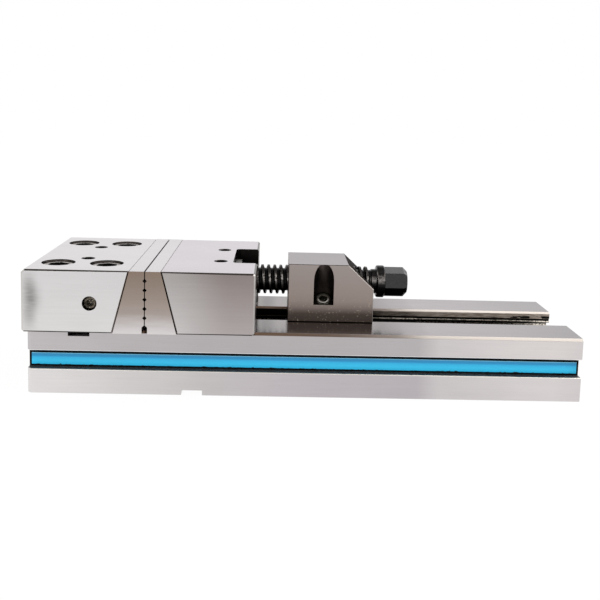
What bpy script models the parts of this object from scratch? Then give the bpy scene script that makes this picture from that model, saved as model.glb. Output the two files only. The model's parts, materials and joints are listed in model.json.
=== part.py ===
"""A modular machine vise: a ground bed, a bolted fixed jaw, and a movable jaw that a spindle drives.

The spindle turns in a nut block, which is moved along the bed in coarse steps and clamped to a guide
in the bed's T-slot. Its nose pushes the movable jaw through a thrust pad, and a keeper in the nose's
groove pulls the jaw back. Both jaws carry wedge plates, which the slanted jaw faces press down.

X runs along the bed towards the spindle's hexagon, Y across it to the rear, and Z up. The origin is
the middle of the whole vise, on the bed's underside. Lengths are in metres. The vise is closed.
"""

import math

import bmesh
import bpy
from mathutils import Matrix, Vector

MM = 0.001

# Clearances
FIT = 0.3 * MM
SLIDE_FIT = 0.5 * MM
GRIP_GAP = 0.7 * MM

# Bed
BED_LENGTH = 423.5 * MM
BED_WIDTH = 128 * MM
BED_HEIGHT = 50 * MM
BED_TOP_CHAMFER = 2.1 * MM
BED_BOTTOM_CHAMFER = 0.7 * MM
BED_CORNER_CHAMFER = 3 * MM
SIDE_GROOVE_BOTTOM = 19.2 * MM
SIDE_GROOVE_HEIGHT = 14 * MM
SIDE_GROOVE_DEPTH = 7.6 * MM
SIDE_GROOVE_CHAMFER = 0.5 * MM
SLOT_WIDTH = 43 * MM
SLOT_CHAMFER = 1.6 * MM
SLOT_RELIEF_DROP = 5.9 * MM
SLOT_RELIEF_HEIGHT = 1.7 * MM
SLOT_RELIEF_DEPTH = 1 * MM
SLOT_LIP_HEIGHT = 9.2 * MM
T_SLOT_WIDTH = 58 * MM
T_SLOT_FLOOR = 24 * MM
BASE_KEYWAY_FROM_END = 124 * MM
BASE_KEYWAY_WIDTH = 15.9 * MM
BASE_KEYWAY_DEPTH = 4 * MM

# Side strips
STRIP_THICKNESS = 1.2 * MM
STRIP_HEIGHT = 9.1 * MM
STRIP_ABOVE_GROOVE_BOTTOM = 1.6 * MM
STRIP_END_GAP = 2.1 * MM

# Jaws
JAW_WIDTH = 150 * MM
JAW_HEIGHT = 47.5 * MM
JAW_SLANT = 12.1 * MM
JAW_EDGE_CHAMFER = 1.3 * MM
JAW_BASE_CHAMFER = 1.5 * MM
JAW_BACK_CHAMFER = 2.5 * MM
FIXED_JAW_LENGTH = 78.7 * MM
FIXED_JAW_OVERHANG = 0.9 * MM
MOVABLE_JAW_LENGTH = 69.7 * MM
EYE_HOLE_SPACING = 51.6 * MM
EYE_HOLE_DIAMETER = 10 * MM
EYE_HOLE_SINK = 11.1 * MM
EYE_HOLE_DEPTH = 22 * MM
FIXED_EYE_FROM_BACK = 39 * MM
MOVABLE_EYE_FROM_REAR = 28.8 * MM

# Jaw plates
PLATE_TOP_THICKNESS = 11.2 * MM
PLATE_GROOVE_FIRST = 7.2 * MM
PLATE_GROOVE_SPACING = 7.4 * MM
PLATE_GROOVE_HEIGHT = 2.8 * MM
PLATE_GROOVE_DEPTH = 1.3 * MM
PLATE_RELIEF_HEIGHT = 5 * MM
PLATE_RELIEF_POINT = 1.6 * MM
PLATE_RELIEF_DEPTH = 1.7 * MM
PLATE_SCREW_SPACING = 50 * MM
PLATE_SCREW_ABOVE_BED = 17 * MM
PLATE_SCREW_LENGTH = 25 * MM
PLATE_SCREW_SINK = 1 * MM

# Fixed jaw fastening
JAW_BOLT_DIAMETER = 16 * MM
JAW_BOLT_HEAD = 24 * MM
JAW_BOLT_SOCKET = 14 * MM
JAW_BOLT_LENGTH = 54 * MM
JAW_BOLT_SPACING_X = 36.8 * MM
JAW_BOLT_SPACING_Y = 90.6 * MM
JAW_BOLT_FROM_BACK = 20.5 * MM
JAW_BOLT_COUNTERBORE = 25.4 * MM
JAW_BOLT_SINK = 1.5 * MM
CROSS_KEY_WIDTH = 15.5 * MM
CROSS_KEY_HEIGHT = 9.6 * MM
CROSS_KEY_LENGTH = 28 * MM
CROSS_KEY_SPACING = 82 * MM
CROSS_KEY_FROM_BACK = 39.7 * MM
CROSS_KEY_CHAMFER = 0.8 * MM
SIDE_SCREW_DIAMETER = 10 * MM
SIDE_SCREW_SOCKET = 5 * MM
SIDE_SCREW_LENGTH = 11 * MM
SIDE_SCREW_SINK = 3 * MM
SIDE_HOLE_MOUTH = 11 * MM
SIDE_SCREW_FROM_BACK = 50 * MM
SIDE_SCREW_ABOVE_BED = 22.7 * MM

# Movable jaw recess, guide and thrust bearing
RECESS_DEPTH = 18.9 * MM
RECESS_WIDTH = 64.4 * MM
RECESS_CORNER = 4 * MM
JAW_GUIDE_LENGTH = 42 * MM
JAW_GUIDE_FROM_REAR = 15 * MM
GUIDE_FLOOR_GAP = 1.5 * MM
GUIDE_SCREW_SPACING = 22 * MM
GUIDE_SCREW_LENGTH = 28 * MM
GUIDE_SCREW_SINK = 0.5 * MM
NOSE_DIAMETER = 18 * MM
NOSE_LENGTH = 17 * MM
NOSE_CHAMFER = 3 * MM
THRUST_PAD_THICKNESS = 6 * MM
THRUST_PAD_CHAMFER = 0.8 * MM
KEEPER_THICKNESS = 5 * MM
KEEPER_WIDTH = 42 * MM
KEEPER_ABOVE_AXIS = 12 * MM
KEEPER_BELOW_AXIS = 16 * MM
KEEPER_GROOVE_DIAMETER = 13 * MM
KEEPER_SCREW_SPACING = 30 * MM
KEEPER_SCREW_DIAMETER = 5 * MM
KEEPER_SCREW_HEAD = 9.5 * MM
KEEPER_SCREW_SOCKET = 3 * MM
KEEPER_SCREW_LENGTH = 16 * MM

# M8 cap screws, used on the plates, the guides and the nut block
M8_DIAMETER = 8 * MM
M8_HEAD = 13 * MM
M8_SOCKET = 6 * MM

# Spindle
SPINDLE_ABOVE_BED = 28.7 * MM
THREAD_DIAMETER = 24 * MM
THREAD_ROOT = 18.5 * MM
THREAD_PITCH = 5 * MM
THREAD_CREST_SHARE = 0.34
THREAD_FLANK_SHARE = 0.16
SHOULDER_LENGTH = 2.8 * MM
THREAD_RUN_OUT = 0.3 * MM
NECK_DIAMETER = 20.1 * MM
NECK_LENGTH = 4.6 * MM
COLLAR_DIAMETER = 26.5 * MM
COLLAR_LENGTH = 7.1 * MM
COLLAR_CHAMFER = 1 * MM
COLLAR_GAP = 4.2 * MM
HEX_FLATS = 21 * MM
HEX_LENGTH = 18.5 * MM
HEX_TURN = math.radians(-15)
HEX_END_CHAMFER = 3 * MM

# Nut block
NUT_GAP = 25.2 * MM
NUT_LENGTH = 68.2 * MM
NUT_WIDTH = 55 * MM
NUT_HEIGHT = 46.6 * MM
NUT_SLOPE_RUN = 20.5 * MM
NUT_SLOPE_DROP = 19.2 * MM
NUT_EDGE_CHAMFER = 0.5 * MM
NUT_BORE_SINK = 1.2 * MM
NUT_GUIDE_LENGTH = 62 * MM
NUT_GUIDE_TAIL = 44 * MM
NUT_GUIDE_TAIL_STEP = 0.5 * MM
POCKET_FROM_FRONT = 28.3 * MM
POCKET_WIDTH = 16.1 * MM
POCKET_FLOOR_ABOVE_BED = 14 * MM
POCKET_TILT = math.radians(35)
POCKET_REACH = 11.3 * MM
POCKET_SCREW_REACH = 7 * MM
POCKET_SCREW_LENGTH = 20 * MM
POCKET_SCREW_BORE = 13.8 * MM

# Fineness of round forms, and screw proportions as shares of the thread's diameter
ROUND_SIDES = 24
LARGE_ROUND_SIDES = 36
SMALL_ROUND_SIDES = 18
SMOOTH_ANGLE = math.radians(35)
SCREW_EDGE_SHARE = 0.06
SCREW_SOCKET_SHARE = 0.5

# Places that follow from the sizes
BED_START = -(BED_LENGTH - FIXED_JAW_OVERHANG) / 2
BED_END = BED_START + BED_LENGTH
HALF_BED = BED_WIDTH / 2
HALF_JAW = JAW_WIDTH / 2
HALF_SLOT = SLOT_WIDTH / 2
HALF_T_SLOT = T_SLOT_WIDTH / 2
SLOT_LIP_BOTTOM = BED_HEIGHT - SLOT_LIP_HEIGHT
SIDE_GROOVE_TOP = SIDE_GROOVE_BOTTOM + SIDE_GROOVE_HEIGHT
SEAT = BED_HEIGHT + FIT
JAW_TOP = BED_HEIGHT + JAW_HEIGHT
FIXED_BACK = BED_START - FIXED_JAW_OVERHANG
FIXED_FACE = FIXED_BACK + FIXED_JAW_LENGTH
GRIP_PLANE = FIXED_FACE + FIT + PLATE_TOP_THICKNESS
MOVABLE_FACE = GRIP_PLANE + GRIP_GAP + PLATE_TOP_THICKNESS + FIT
MOVABLE_REAR = MOVABLE_FACE + MOVABLE_JAW_LENGTH
RECESS_FLOOR = MOVABLE_REAR - RECESS_DEPTH
NUT_FRONT = MOVABLE_REAR + NUT_GAP
NUT_REAR = NUT_FRONT + NUT_LENGTH
SPINDLE_HEIGHT = BED_HEIGHT + SPINDLE_ABOVE_BED
KEEPER_FRONT = RECESS_FLOOR + FIT
KEEPER_REAR = KEEPER_FRONT + KEEPER_THICKNESS
NOSE_TIP = KEEPER_FRONT - FIT - NOSE_LENGTH
THRUST_BORE_END = NOSE_TIP - FIT - THRUST_PAD_THICKNESS - FIT
THREAD_START = KEEPER_REAR + FIT + SHOULDER_LENGTH
COLLAR_START = NUT_REAR + COLLAR_GAP
HEX_START = COLLAR_START + COLLAR_LENGTH
HEX_END = HEX_START + HEX_LENGTH
NECK_START = COLLAR_START - NECK_LENGTH
GUIDE_BOTTOM = T_SLOT_FLOOR + GUIDE_FLOOR_GAP
CROSS_KEY_X = FIXED_BACK + CROSS_KEY_FROM_BACK

SIDES = (-1, 1)
ENDS = {-1: "front", 1: "rear"}
ALONG_X = Vector((1, 0, 0))
ALONG_Y = Vector((0, 1, 0))
UP = Vector((0, 0, 1))


def clear_scene():
    """Empty the scene without closing the open file."""
    for item in list(bpy.data.objects):
        bpy.data.objects.remove(item, do_unlink=True)


def finish(name, colour, roughness, metallic=1.0):
    """Return a plain material with a part's colour and gloss."""
    material = bpy.data.materials.new(name)
    material.use_nodes = True
    shader = material.node_tree.nodes["Principled BSDF"]
    shader.inputs["Base Color"].default_value = (*colour, 1)
    shader.inputs["Roughness"].default_value = roughness
    shader.inputs["Metallic"].default_value = metallic
    return material


def empty(name, place, parent=None):
    """Add an empty that carries the pieces of one moving group."""
    item = bpy.data.objects.new(name, None)
    bpy.context.collection.objects.link(item)
    item.location = place
    if parent:
        item.parent = parent
        item.location = place - parent_place(parent)
    return item


def parent_place(item):
    """Return the world place of an empty, adding up its parents' locations."""
    place = item.location.copy()
    while item.parent:
        item = item.parent
        place += item.location
    return place


def add_piece(name, mesh, colour, parent, place=Matrix.Identity(4)):
    """Add one named solid, at a place given in the vise's frame."""
    piece = bpy.data.objects.new(name, mesh)
    bpy.context.collection.objects.link(piece)
    piece.parent = parent
    piece.matrix_basis = Matrix.Translation(-parent_place(parent)) @ place
    if not mesh.materials:
        mesh.materials.append(colour)
    return piece


def to_mesh(name, bm, smooth_angle=None):
    """Close a bmesh into a mesh whose faces point outwards."""
    bmesh.ops.recalc_face_normals(bm, faces=bm.faces)
    mesh = bpy.data.meshes.new(name)
    bm.to_mesh(mesh)
    bm.free()
    if smooth_angle:
        mesh.shade_smooth()
        mesh.set_sharp_from_angle(angle=smooth_angle)
    return mesh


def cut(piece, name, mesh, place=Matrix.Identity(4)):
    """Cut a hidden solid out of a piece, at a place given in the vise's frame."""
    cutter = bpy.data.objects.new(f"{piece.name}_{name}", mesh)
    bpy.context.collection.objects.link(cutter)
    cutter.matrix_basis = place
    cutter.hide_render = True
    cutter.display_type = "WIRE"
    boolean = piece.modifiers.new(name, "BOOLEAN")
    boolean.operation = "DIFFERENCE"
    boolean.solver = "EXACT"
    boolean.object = cutter


def frame_on(origin, direction, across=ALONG_X):
    """Return the matrix that stands a solid's Z on a direction, with its X near another."""
    z_axis = direction.normalized()
    y_axis = z_axis.cross(across).normalized()
    x_axis = y_axis.cross(z_axis)
    turn = Matrix((x_axis, y_axis, z_axis)).transposed().to_4x4()
    return Matrix.Translation(origin) @ turn


def mirrored(half):
    """Close an outline's right half with its mirror image."""
    return half + [(-y, z) for y, z in reversed(half)]


def rounded_outline(width, height, radius, steps=6):
    """Return a rectangle about the origin with round corners."""
    points = []
    for quarter, (sx, sy) in enumerate(((1, 1), (-1, 1), (-1, -1), (1, -1))):
        centre_x = sx * (width / 2 - radius)
        centre_y = sy * (height / 2 - radius)
        for step in range(steps + 1):
            angle = math.pi / 2 * (quarter + step / steps)
            x = centre_x + radius * math.cos(angle)
            y = centre_y + radius * math.sin(angle)
            points.append((x, y))
    return points


def prism(points, chamfer=0.0):
    """Join an outline's two copies, given as lists of points, into a solid with chamfered ends."""
    bm = bmesh.new()
    near = [bm.verts.new(point) for point in points[0]]
    far = [bm.verts.new(point) for point in points[1]]
    caps = [bm.faces.new(near), bm.faces.new(far)]
    for index, vertex in enumerate(near):
        after = (index + 1) % len(near)
        bm.faces.new((vertex, near[after], far[after], far[index]))
    bmesh.ops.recalc_face_normals(bm, faces=bm.faces)
    if chamfer:
        for cap in caps:
            bmesh.ops.inset_region(bm, faces=[cap], thickness=chamfer, depth=chamfer)
    return bm


def prism_along_x(outline, low, high):
    """Extrude a (Y, Z) outline along X."""
    ends = [[(x, y, z) for y, z in outline] for x in (low, high)]
    return prism(ends)


def prism_along_y(outline, half_width, chamfer=0.0):
    """Extrude an (X, Z) outline along Y, evenly about the middle, with chamfered ends."""
    reach = half_width - chamfer
    ends = [[(x, y, z) for x, z in outline] for y in (-reach, reach)]
    return prism(ends, chamfer)


def prism_along_z(outline, low, high):
    """Extrude an (X, Y) outline along Z."""
    ends = [[(x, y, z) for x, y in outline] for z in (low, high)]
    return prism(ends)


def rectangle(low, high):
    """Return the outline of a rectangle from two opposite corners."""
    return [low, (high[0], low[1]), high, (low[0], high[1])]


def ring(bm, radius, height, sides, hexagon=False, turn=0.0):
    """Add one ring of vertices round Z: a circle, or a turned hexagon given by half its flats."""
    vertices = []
    for side in range(sides):
        angle = 2 * math.pi * side / sides
        reach = radius
        if hexagon:
            off_flat = (angle - turn + math.pi / 6) % (math.pi / 3) - math.pi / 6
            reach = radius / math.cos(off_flat)
        vertices.append(bm.verts.new((reach * math.cos(angle), reach * math.sin(angle), height)))
    return vertices


def skin(bm, lower, upper):
    """Join two rings with the same number of vertices by a band of faces."""
    for index, vertex in enumerate(lower):
        after = (index + 1) % len(lower)
        bm.faces.new((vertex, lower[after], upper[after], upper[index]))


def turned(profile, sides=ROUND_SIDES, socket=None):
    """Turn a profile of (radius, height) points round Z, with an optional hexagon socket on top."""
    bm = bmesh.new()
    rings = [ring(bm, radius, height, sides) for radius, height in profile]
    if socket:
        flats, depth = socket
        top = profile[-1][1]
        rings.append(ring(bm, flats / 2, top, sides, hexagon=True))
        rings.append(ring(bm, flats / 2, top - depth, sides, hexagon=True))
    for lower, upper in zip(rings, rings[1:]):
        skin(bm, lower, upper)
    bm.faces.new(rings[0])
    bm.faces.new(rings[-1])
    return bm


def cylinder(diameter, low, high, sides=SMALL_ROUND_SIDES):
    """Return the mesh of a plain round cutter along Z."""
    return to_mesh("round_cutter", turned([(diameter / 2, low), (diameter / 2, high)], sides))


def stepped_hole(bore, depth, wide, wide_depth, sides=SMALL_ROUND_SIDES):
    """Return the cutter of a counterbored hole that goes down from its mouth at Z = 0."""
    profile = [
        (bore / 2, -depth),
        (bore / 2, -wide_depth),
        (wide / 2, -wide_depth),
        (wide / 2, wide_depth),
    ]
    return to_mesh("stepped_cutter", turned(profile, sides))


def sunk_hole(bore, depth, mouth):
    """Return the cutter of a drilled hole with a countersunk mouth at Z = 0."""
    sink = (mouth - bore) / 2
    profile = [(bore / 2, -depth), (bore / 2, -sink), (mouth / 2, 0), (mouth / 2, sink)]
    return to_mesh("sunk_cutter", turned(profile, SMALL_ROUND_SIDES))


def cap_screw(diameter, head, length, socket, sides=SMALL_ROUND_SIDES):
    """Return a socket head cap screw whose head sits on Z = 0 and whose shank points down."""
    edge = diameter * SCREW_EDGE_SHARE
    profile = [
        (diameter / 2 - edge, -length),
        (diameter / 2, edge - length),
        (diameter / 2, 0),
        (head / 2, 0),
        (head / 2, diameter - edge),
        (head / 2 - edge, diameter),
    ]
    bm = turned(profile, sides, (socket, diameter * SCREW_SOCKET_SHARE))
    return to_mesh("cap_screw", bm, smooth_angle=SMOOTH_ANGLE)


def grub_screw(diameter, length, socket):
    """Return a headless screw whose socket end is at Z = 0."""
    edge = diameter * SCREW_EDGE_SHARE
    profile = [
        (diameter / 2 - edge, -length),
        (diameter / 2, edge - length),
        (diameter / 2, -edge),
        (diameter / 2 - edge, 0),
    ]
    bm = turned(profile, SMALL_ROUND_SIDES, (socket, diameter * SCREW_SOCKET_SHARE))
    return to_mesh("grub_screw", bm, smooth_angle=SMOOTH_ANGLE)


def countersunk_screw(diameter, head, length, socket):
    """Return a flat head screw whose head is level with Z = 0."""
    cone = (head - diameter) / 2
    profile = [(diameter / 2, -length), (diameter / 2, -cone), (head / 2, 0)]
    bm = turned(profile, SMALL_ROUND_SIDES, (socket, cone))
    return to_mesh("countersunk_screw", bm, smooth_angle=SMOOTH_ANGLE)


def slant_at(height):
    """Return how far the slanted jaw face lies behind its top edge at a height."""
    return JAW_SLANT * (JAW_TOP - height) / JAW_HEIGHT


def bed_outline():
    """Return the bed's cross-section: two rails, side grooves and a T-slot between the rails."""
    relief_top = BED_HEIGHT - SLOT_RELIEF_DROP
    relief_bottom = relief_top - SLOT_RELIEF_HEIGHT
    groove_root = HALF_BED - SIDE_GROOVE_DEPTH
    half = [
        (HALF_BED - BED_BOTTOM_CHAMFER, 0),
        (HALF_BED, BED_BOTTOM_CHAMFER),
        (HALF_BED, SIDE_GROOVE_BOTTOM - SIDE_GROOVE_CHAMFER),
        (HALF_BED - SIDE_GROOVE_CHAMFER, SIDE_GROOVE_BOTTOM),
        (groove_root, SIDE_GROOVE_BOTTOM),
        (groove_root, SIDE_GROOVE_TOP),
        (HALF_BED - SIDE_GROOVE_CHAMFER, SIDE_GROOVE_TOP),
        (HALF_BED, SIDE_GROOVE_TOP + SIDE_GROOVE_CHAMFER),
        (HALF_BED, BED_HEIGHT - BED_TOP_CHAMFER),
        (HALF_BED - BED_TOP_CHAMFER, BED_HEIGHT),
        (HALF_SLOT + SLOT_CHAMFER, BED_HEIGHT),
        (HALF_SLOT, BED_HEIGHT - SLOT_CHAMFER),
        (HALF_SLOT, relief_top),
        (HALF_SLOT + SLOT_RELIEF_DEPTH, relief_top),
        (HALF_SLOT + SLOT_RELIEF_DEPTH, relief_bottom),
        (HALF_SLOT, relief_bottom),
        (HALF_SLOT, SLOT_LIP_BOTTOM),
        (HALF_T_SLOT, SLOT_LIP_BOTTOM),
        (HALF_T_SLOT, T_SLOT_FLOOR),
    ]
    return mirrored(half)


def jaw_bolt_places():
    """Return the tops of the fixed jaw's four bolt holes."""
    places = []
    for row in range(2):
        for side in SIDES:
            x = FIXED_BACK + JAW_BOLT_FROM_BACK + row * JAW_BOLT_SPACING_X
            places.append(Vector((x, side * JAW_BOLT_SPACING_Y / 2, JAW_TOP)))
    return places


def make_bed(colour, parent):
    """Make the bed: profile, cross keyways, corner chamfers and tapped holes."""
    bm = prism_along_x(bed_outline(), BED_START, BED_END)
    bed = add_piece("bed", to_mesh("bed", bm), colour, parent)
    key_low = CROSS_KEY_X - CROSS_KEY_WIDTH / 2 - FIT
    key_high = CROSS_KEY_X + CROSS_KEY_WIDTH / 2 + FIT
    key_floor = BED_HEIGHT - CROSS_KEY_HEIGHT / 2 - FIT
    top_key = rectangle((key_low, key_floor), (key_high, JAW_TOP))
    cut(bed, "top_keyway", to_mesh("keyway", prism_along_y(top_key, BED_WIDTH)))
    base_x = BED_START + BASE_KEYWAY_FROM_END
    base_low = (base_x - BASE_KEYWAY_WIDTH / 2, -BASE_KEYWAY_DEPTH)
    base_high = (base_x + BASE_KEYWAY_WIDTH / 2, BASE_KEYWAY_DEPTH)
    base_key = rectangle(base_low, base_high)
    cut(bed, "base_keyway", to_mesh("keyway", prism_along_y(base_key, BED_WIDTH)))
    for side in SIDES:
        edge = side * HALF_BED
        corner = [
            (BED_START + BED_CORNER_CHAMFER, edge + side * BED_CORNER_CHAMFER),
            (BED_START - BED_CORNER_CHAMFER, edge + side * BED_CORNER_CHAMFER),
            (BED_START - BED_CORNER_CHAMFER, edge - side * BED_CORNER_CHAMFER),
            (BED_START, edge - side * BED_CORNER_CHAMFER),
            (BED_START + BED_CORNER_CHAMFER, edge),
        ]
        wedge = prism_along_z(corner, -BED_HEIGHT, 2 * BED_HEIGHT)
        cut(bed, f"{ENDS[side]}_corner", to_mesh("corner", wedge))
    tap_depth = JAW_BOLT_LENGTH - (JAW_HEIGHT - JAW_BOLT_DIAMETER - JAW_BOLT_SINK) + 2 * FIT
    tap = cylinder(JAW_BOLT_DIAMETER + 2 * FIT, -tap_depth, tap_depth, ROUND_SIDES)
    for number, top in enumerate(jaw_bolt_places(), start=1):
        mouth = Vector((top.x, top.y, BED_HEIGHT))
        cut(bed, f"tapped_hole_{number}", tap, Matrix.Translation(mouth))


def make_strips(colour, parent):
    """Make the coloured strip on the root of each side groove."""
    low = SIDE_GROOVE_BOTTOM + STRIP_ABOVE_GROOVE_BOTTOM
    high = low + STRIP_HEIGHT
    inner = HALF_BED - SIDE_GROOVE_DEPTH + FIT
    for side in SIDES:
        outline = rectangle((side * inner, low), (side * (inner + STRIP_THICKNESS), high))
        bm = prism_along_x(outline, BED_START + STRIP_END_GAP, BED_END - STRIP_END_GAP)
        add_piece(f"{ENDS[side]}_strip", to_mesh("strip", bm), colour, parent)


def cut_eye_holes(jaw, x):
    """Cut the two tapped holes in a jaw's top, which take lifting eyes or work stops."""
    mesh = sunk_hole(EYE_HOLE_DIAMETER, EYE_HOLE_DEPTH, EYE_HOLE_SINK)
    for side in SIDES:
        place = Matrix.Translation((x, side * EYE_HOLE_SPACING / 2, JAW_TOP))
        cut(jaw, f"{ENDS[side]}_eye_hole", mesh, place)


def make_fixed_jaw(colour, parent):
    """Make the fixed jaw block with its bolt, key, screw and lifting holes."""
    outline = [
        (FIXED_BACK + JAW_BASE_CHAMFER, SEAT),
        (FIXED_FACE - slant_at(SEAT), SEAT),
        (FIXED_FACE, JAW_TOP),
        (FIXED_BACK + JAW_BACK_CHAMFER, JAW_TOP),
        (FIXED_BACK, JAW_TOP - JAW_BACK_CHAMFER),
        (FIXED_BACK, SEAT + JAW_BASE_CHAMFER),
    ]
    bm = prism_along_y(outline, HALF_JAW, JAW_EDGE_CHAMFER)
    jaw = add_piece("fixed_jaw", to_mesh("fixed_jaw", bm), colour, parent)
    head_depth = JAW_BOLT_DIAMETER + JAW_BOLT_SINK + FIT
    through = JAW_BOLT_DIAMETER + 2 * FIT
    hole = stepped_hole(through, 2 * JAW_HEIGHT, JAW_BOLT_COUNTERBORE, head_depth, LARGE_ROUND_SIDES)
    for number, top in enumerate(jaw_bolt_places(), start=1):
        cut(jaw, f"bolt_hole_{number}", hole, Matrix.Translation(top))
    cut_eye_holes(jaw, FIXED_BACK + FIXED_EYE_FROM_BACK)
    key_top = BED_HEIGHT + CROSS_KEY_HEIGHT / 2 + FIT
    key_low = (CROSS_KEY_X - CROSS_KEY_WIDTH / 2 - FIT, 0)
    key_high = (CROSS_KEY_X + CROSS_KEY_WIDTH / 2 + FIT, key_top)
    key_reach = CROSS_KEY_SPACING / 2 + CROSS_KEY_LENGTH / 2 + FIT
    keyway = prism_along_y(rectangle(key_low, key_high), key_reach)
    cut(jaw, "keyway", to_mesh("keyway", keyway))
    depth = SIDE_SCREW_SINK + SIDE_SCREW_LENGTH + FIT
    hole = sunk_hole(SIDE_SCREW_DIAMETER + 2 * FIT, depth, SIDE_HOLE_MOUTH)
    for side in SIDES:
        cut(jaw, f"{ENDS[side]}_side_hole", hole, side_screw_frame(side, HALF_JAW))
    cut_plate_screw_holes(jaw, 1, FIXED_FACE)


def side_screw_frame(side, reach):
    """Return the frame of a side screw whose outer end lies a distance from the middle."""
    origin = Vector((
        FIXED_BACK + SIDE_SCREW_FROM_BACK,
        side * reach,
        BED_HEIGHT + SIDE_SCREW_ABOVE_BED,
    ))
    return frame_on(origin, side * ALONG_Y)


def make_fixed_jaw_fasteners(colour, parent):
    """Make the fixed jaw's four bolts, its two cross keys and its two side screws."""
    bolt = cap_screw(
        JAW_BOLT_DIAMETER, JAW_BOLT_HEAD, JAW_BOLT_LENGTH, JAW_BOLT_SOCKET, ROUND_SIDES
    )
    drop = Vector((0, 0, JAW_BOLT_SINK + JAW_BOLT_DIAMETER))
    for number, top in enumerate(jaw_bolt_places(), start=1):
        add_piece(f"fixed_jaw_bolt_{number}", bolt, colour, parent, Matrix.Translation(top - drop))
    half_key = CROSS_KEY_LENGTH / 2
    low = (CROSS_KEY_X - CROSS_KEY_WIDTH / 2, BED_HEIGHT - CROSS_KEY_HEIGHT / 2)
    high = (CROSS_KEY_X + CROSS_KEY_WIDTH / 2, BED_HEIGHT + CROSS_KEY_HEIGHT / 2)
    for side in SIDES:
        bm = prism_along_y(rectangle(low, high), half_key, CROSS_KEY_CHAMFER)
        place = Matrix.Translation((0, side * CROSS_KEY_SPACING / 2, 0))
        add_piece(f"fixed_jaw_key_{ENDS[side]}", to_mesh("cross_key", bm), colour, parent, place)
    grub = grub_screw(SIDE_SCREW_DIAMETER, SIDE_SCREW_LENGTH, SIDE_SCREW_SOCKET)
    for side in SIDES:
        place = side_screw_frame(side, HALF_JAW - SIDE_SCREW_SINK)
        add_piece(f"side_screw_{ENDS[side]}", grub, colour, parent, place)


def plate_outline(face, towards):
    """Return a plate's (X, Z) outline: slanted back, V-grooves and a relief at the foot of its face.

    face is the X of the gripping face, and towards is the X direction from it to the plate's back.
    """
    top_back = face + towards * PLATE_TOP_THICKNESS
    outline = [
        (top_back + towards * slant_at(SEAT), SEAT),
        (top_back, JAW_TOP),
        (face, JAW_TOP),
    ]
    relief_top = SEAT + PLATE_RELIEF_HEIGHT
    relief_tip = relief_top + PLATE_RELIEF_POINT
    room = JAW_TOP - PLATE_GROOVE_FIRST - PLATE_GROOVE_HEIGHT / 2 - relief_tip
    for number in range(1 + int(room // PLATE_GROOVE_SPACING)):
        middle = JAW_TOP - PLATE_GROOVE_FIRST - number * PLATE_GROOVE_SPACING
        outline.append((face, middle + PLATE_GROOVE_HEIGHT / 2))
        outline.append((face + towards * PLATE_GROOVE_DEPTH, middle))
        outline.append((face, middle - PLATE_GROOVE_HEIGHT / 2))
    relief = face + towards * PLATE_RELIEF_DEPTH
    outline.append((face, relief_tip))
    outline.append((relief, relief_top))
    outline.append((relief, SEAT))
    return outline


def plate_screw_frame(side, face, towards):
    """Return the frame of a plate screw's mouth on the gripping face, pointing out of it."""
    origin = Vector((
        face,
        side * PLATE_SCREW_SPACING / 2,
        BED_HEIGHT + PLATE_SCREW_ABOVE_BED,
    ))
    return frame_on(origin, -towards * ALONG_X, ALONG_Y)


def cut_plate_screw_holes(jaw, gripping_side, face):
    """Cut the tapped holes for the plate screws into a jaw's slanted face."""
    height = BED_HEIGHT + PLATE_SCREW_ABOVE_BED
    plate_thickness = PLATE_TOP_THICKNESS + slant_at(height)
    depth = M8_DIAMETER + PLATE_SCREW_SINK + PLATE_SCREW_LENGTH + 2 * FIT - plate_thickness
    hole = cylinder(M8_DIAMETER + 2 * FIT, -depth, plate_thickness)
    surface = face - gripping_side * slant_at(height)
    for side in SIDES:
        place = plate_screw_frame(side, surface, -gripping_side)
        cut(jaw, f"{ENDS[side]}_plate_screw_hole", hole, place)


def make_plate(name, face, towards, colour, screw_colour, parent):
    """Make one jaw plate and the two screws that hold it."""
    bm = prism_along_y(plate_outline(face, towards), HALF_JAW)
    plate = add_piece(name, to_mesh(name, bm), colour, parent)
    head_depth = M8_DIAMETER + PLATE_SCREW_SINK + FIT
    hole = stepped_hole(M8_DIAMETER + 2 * FIT, JAW_HEIGHT, M8_HEAD + 2 * FIT, head_depth)
    screw = cap_screw(M8_DIAMETER, M8_HEAD, PLATE_SCREW_LENGTH, M8_SOCKET)
    drop = Matrix.Translation((0, 0, -PLATE_SCREW_SINK - M8_DIAMETER))
    for side in SIDES:
        place = plate_screw_frame(side, face, towards)
        cut(plate, f"{ENDS[side]}_screw_hole", hole, place)
        add_piece(f"{name}_screw_{ENDS[side]}", screw, screw_colour, parent, place @ drop)


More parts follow.
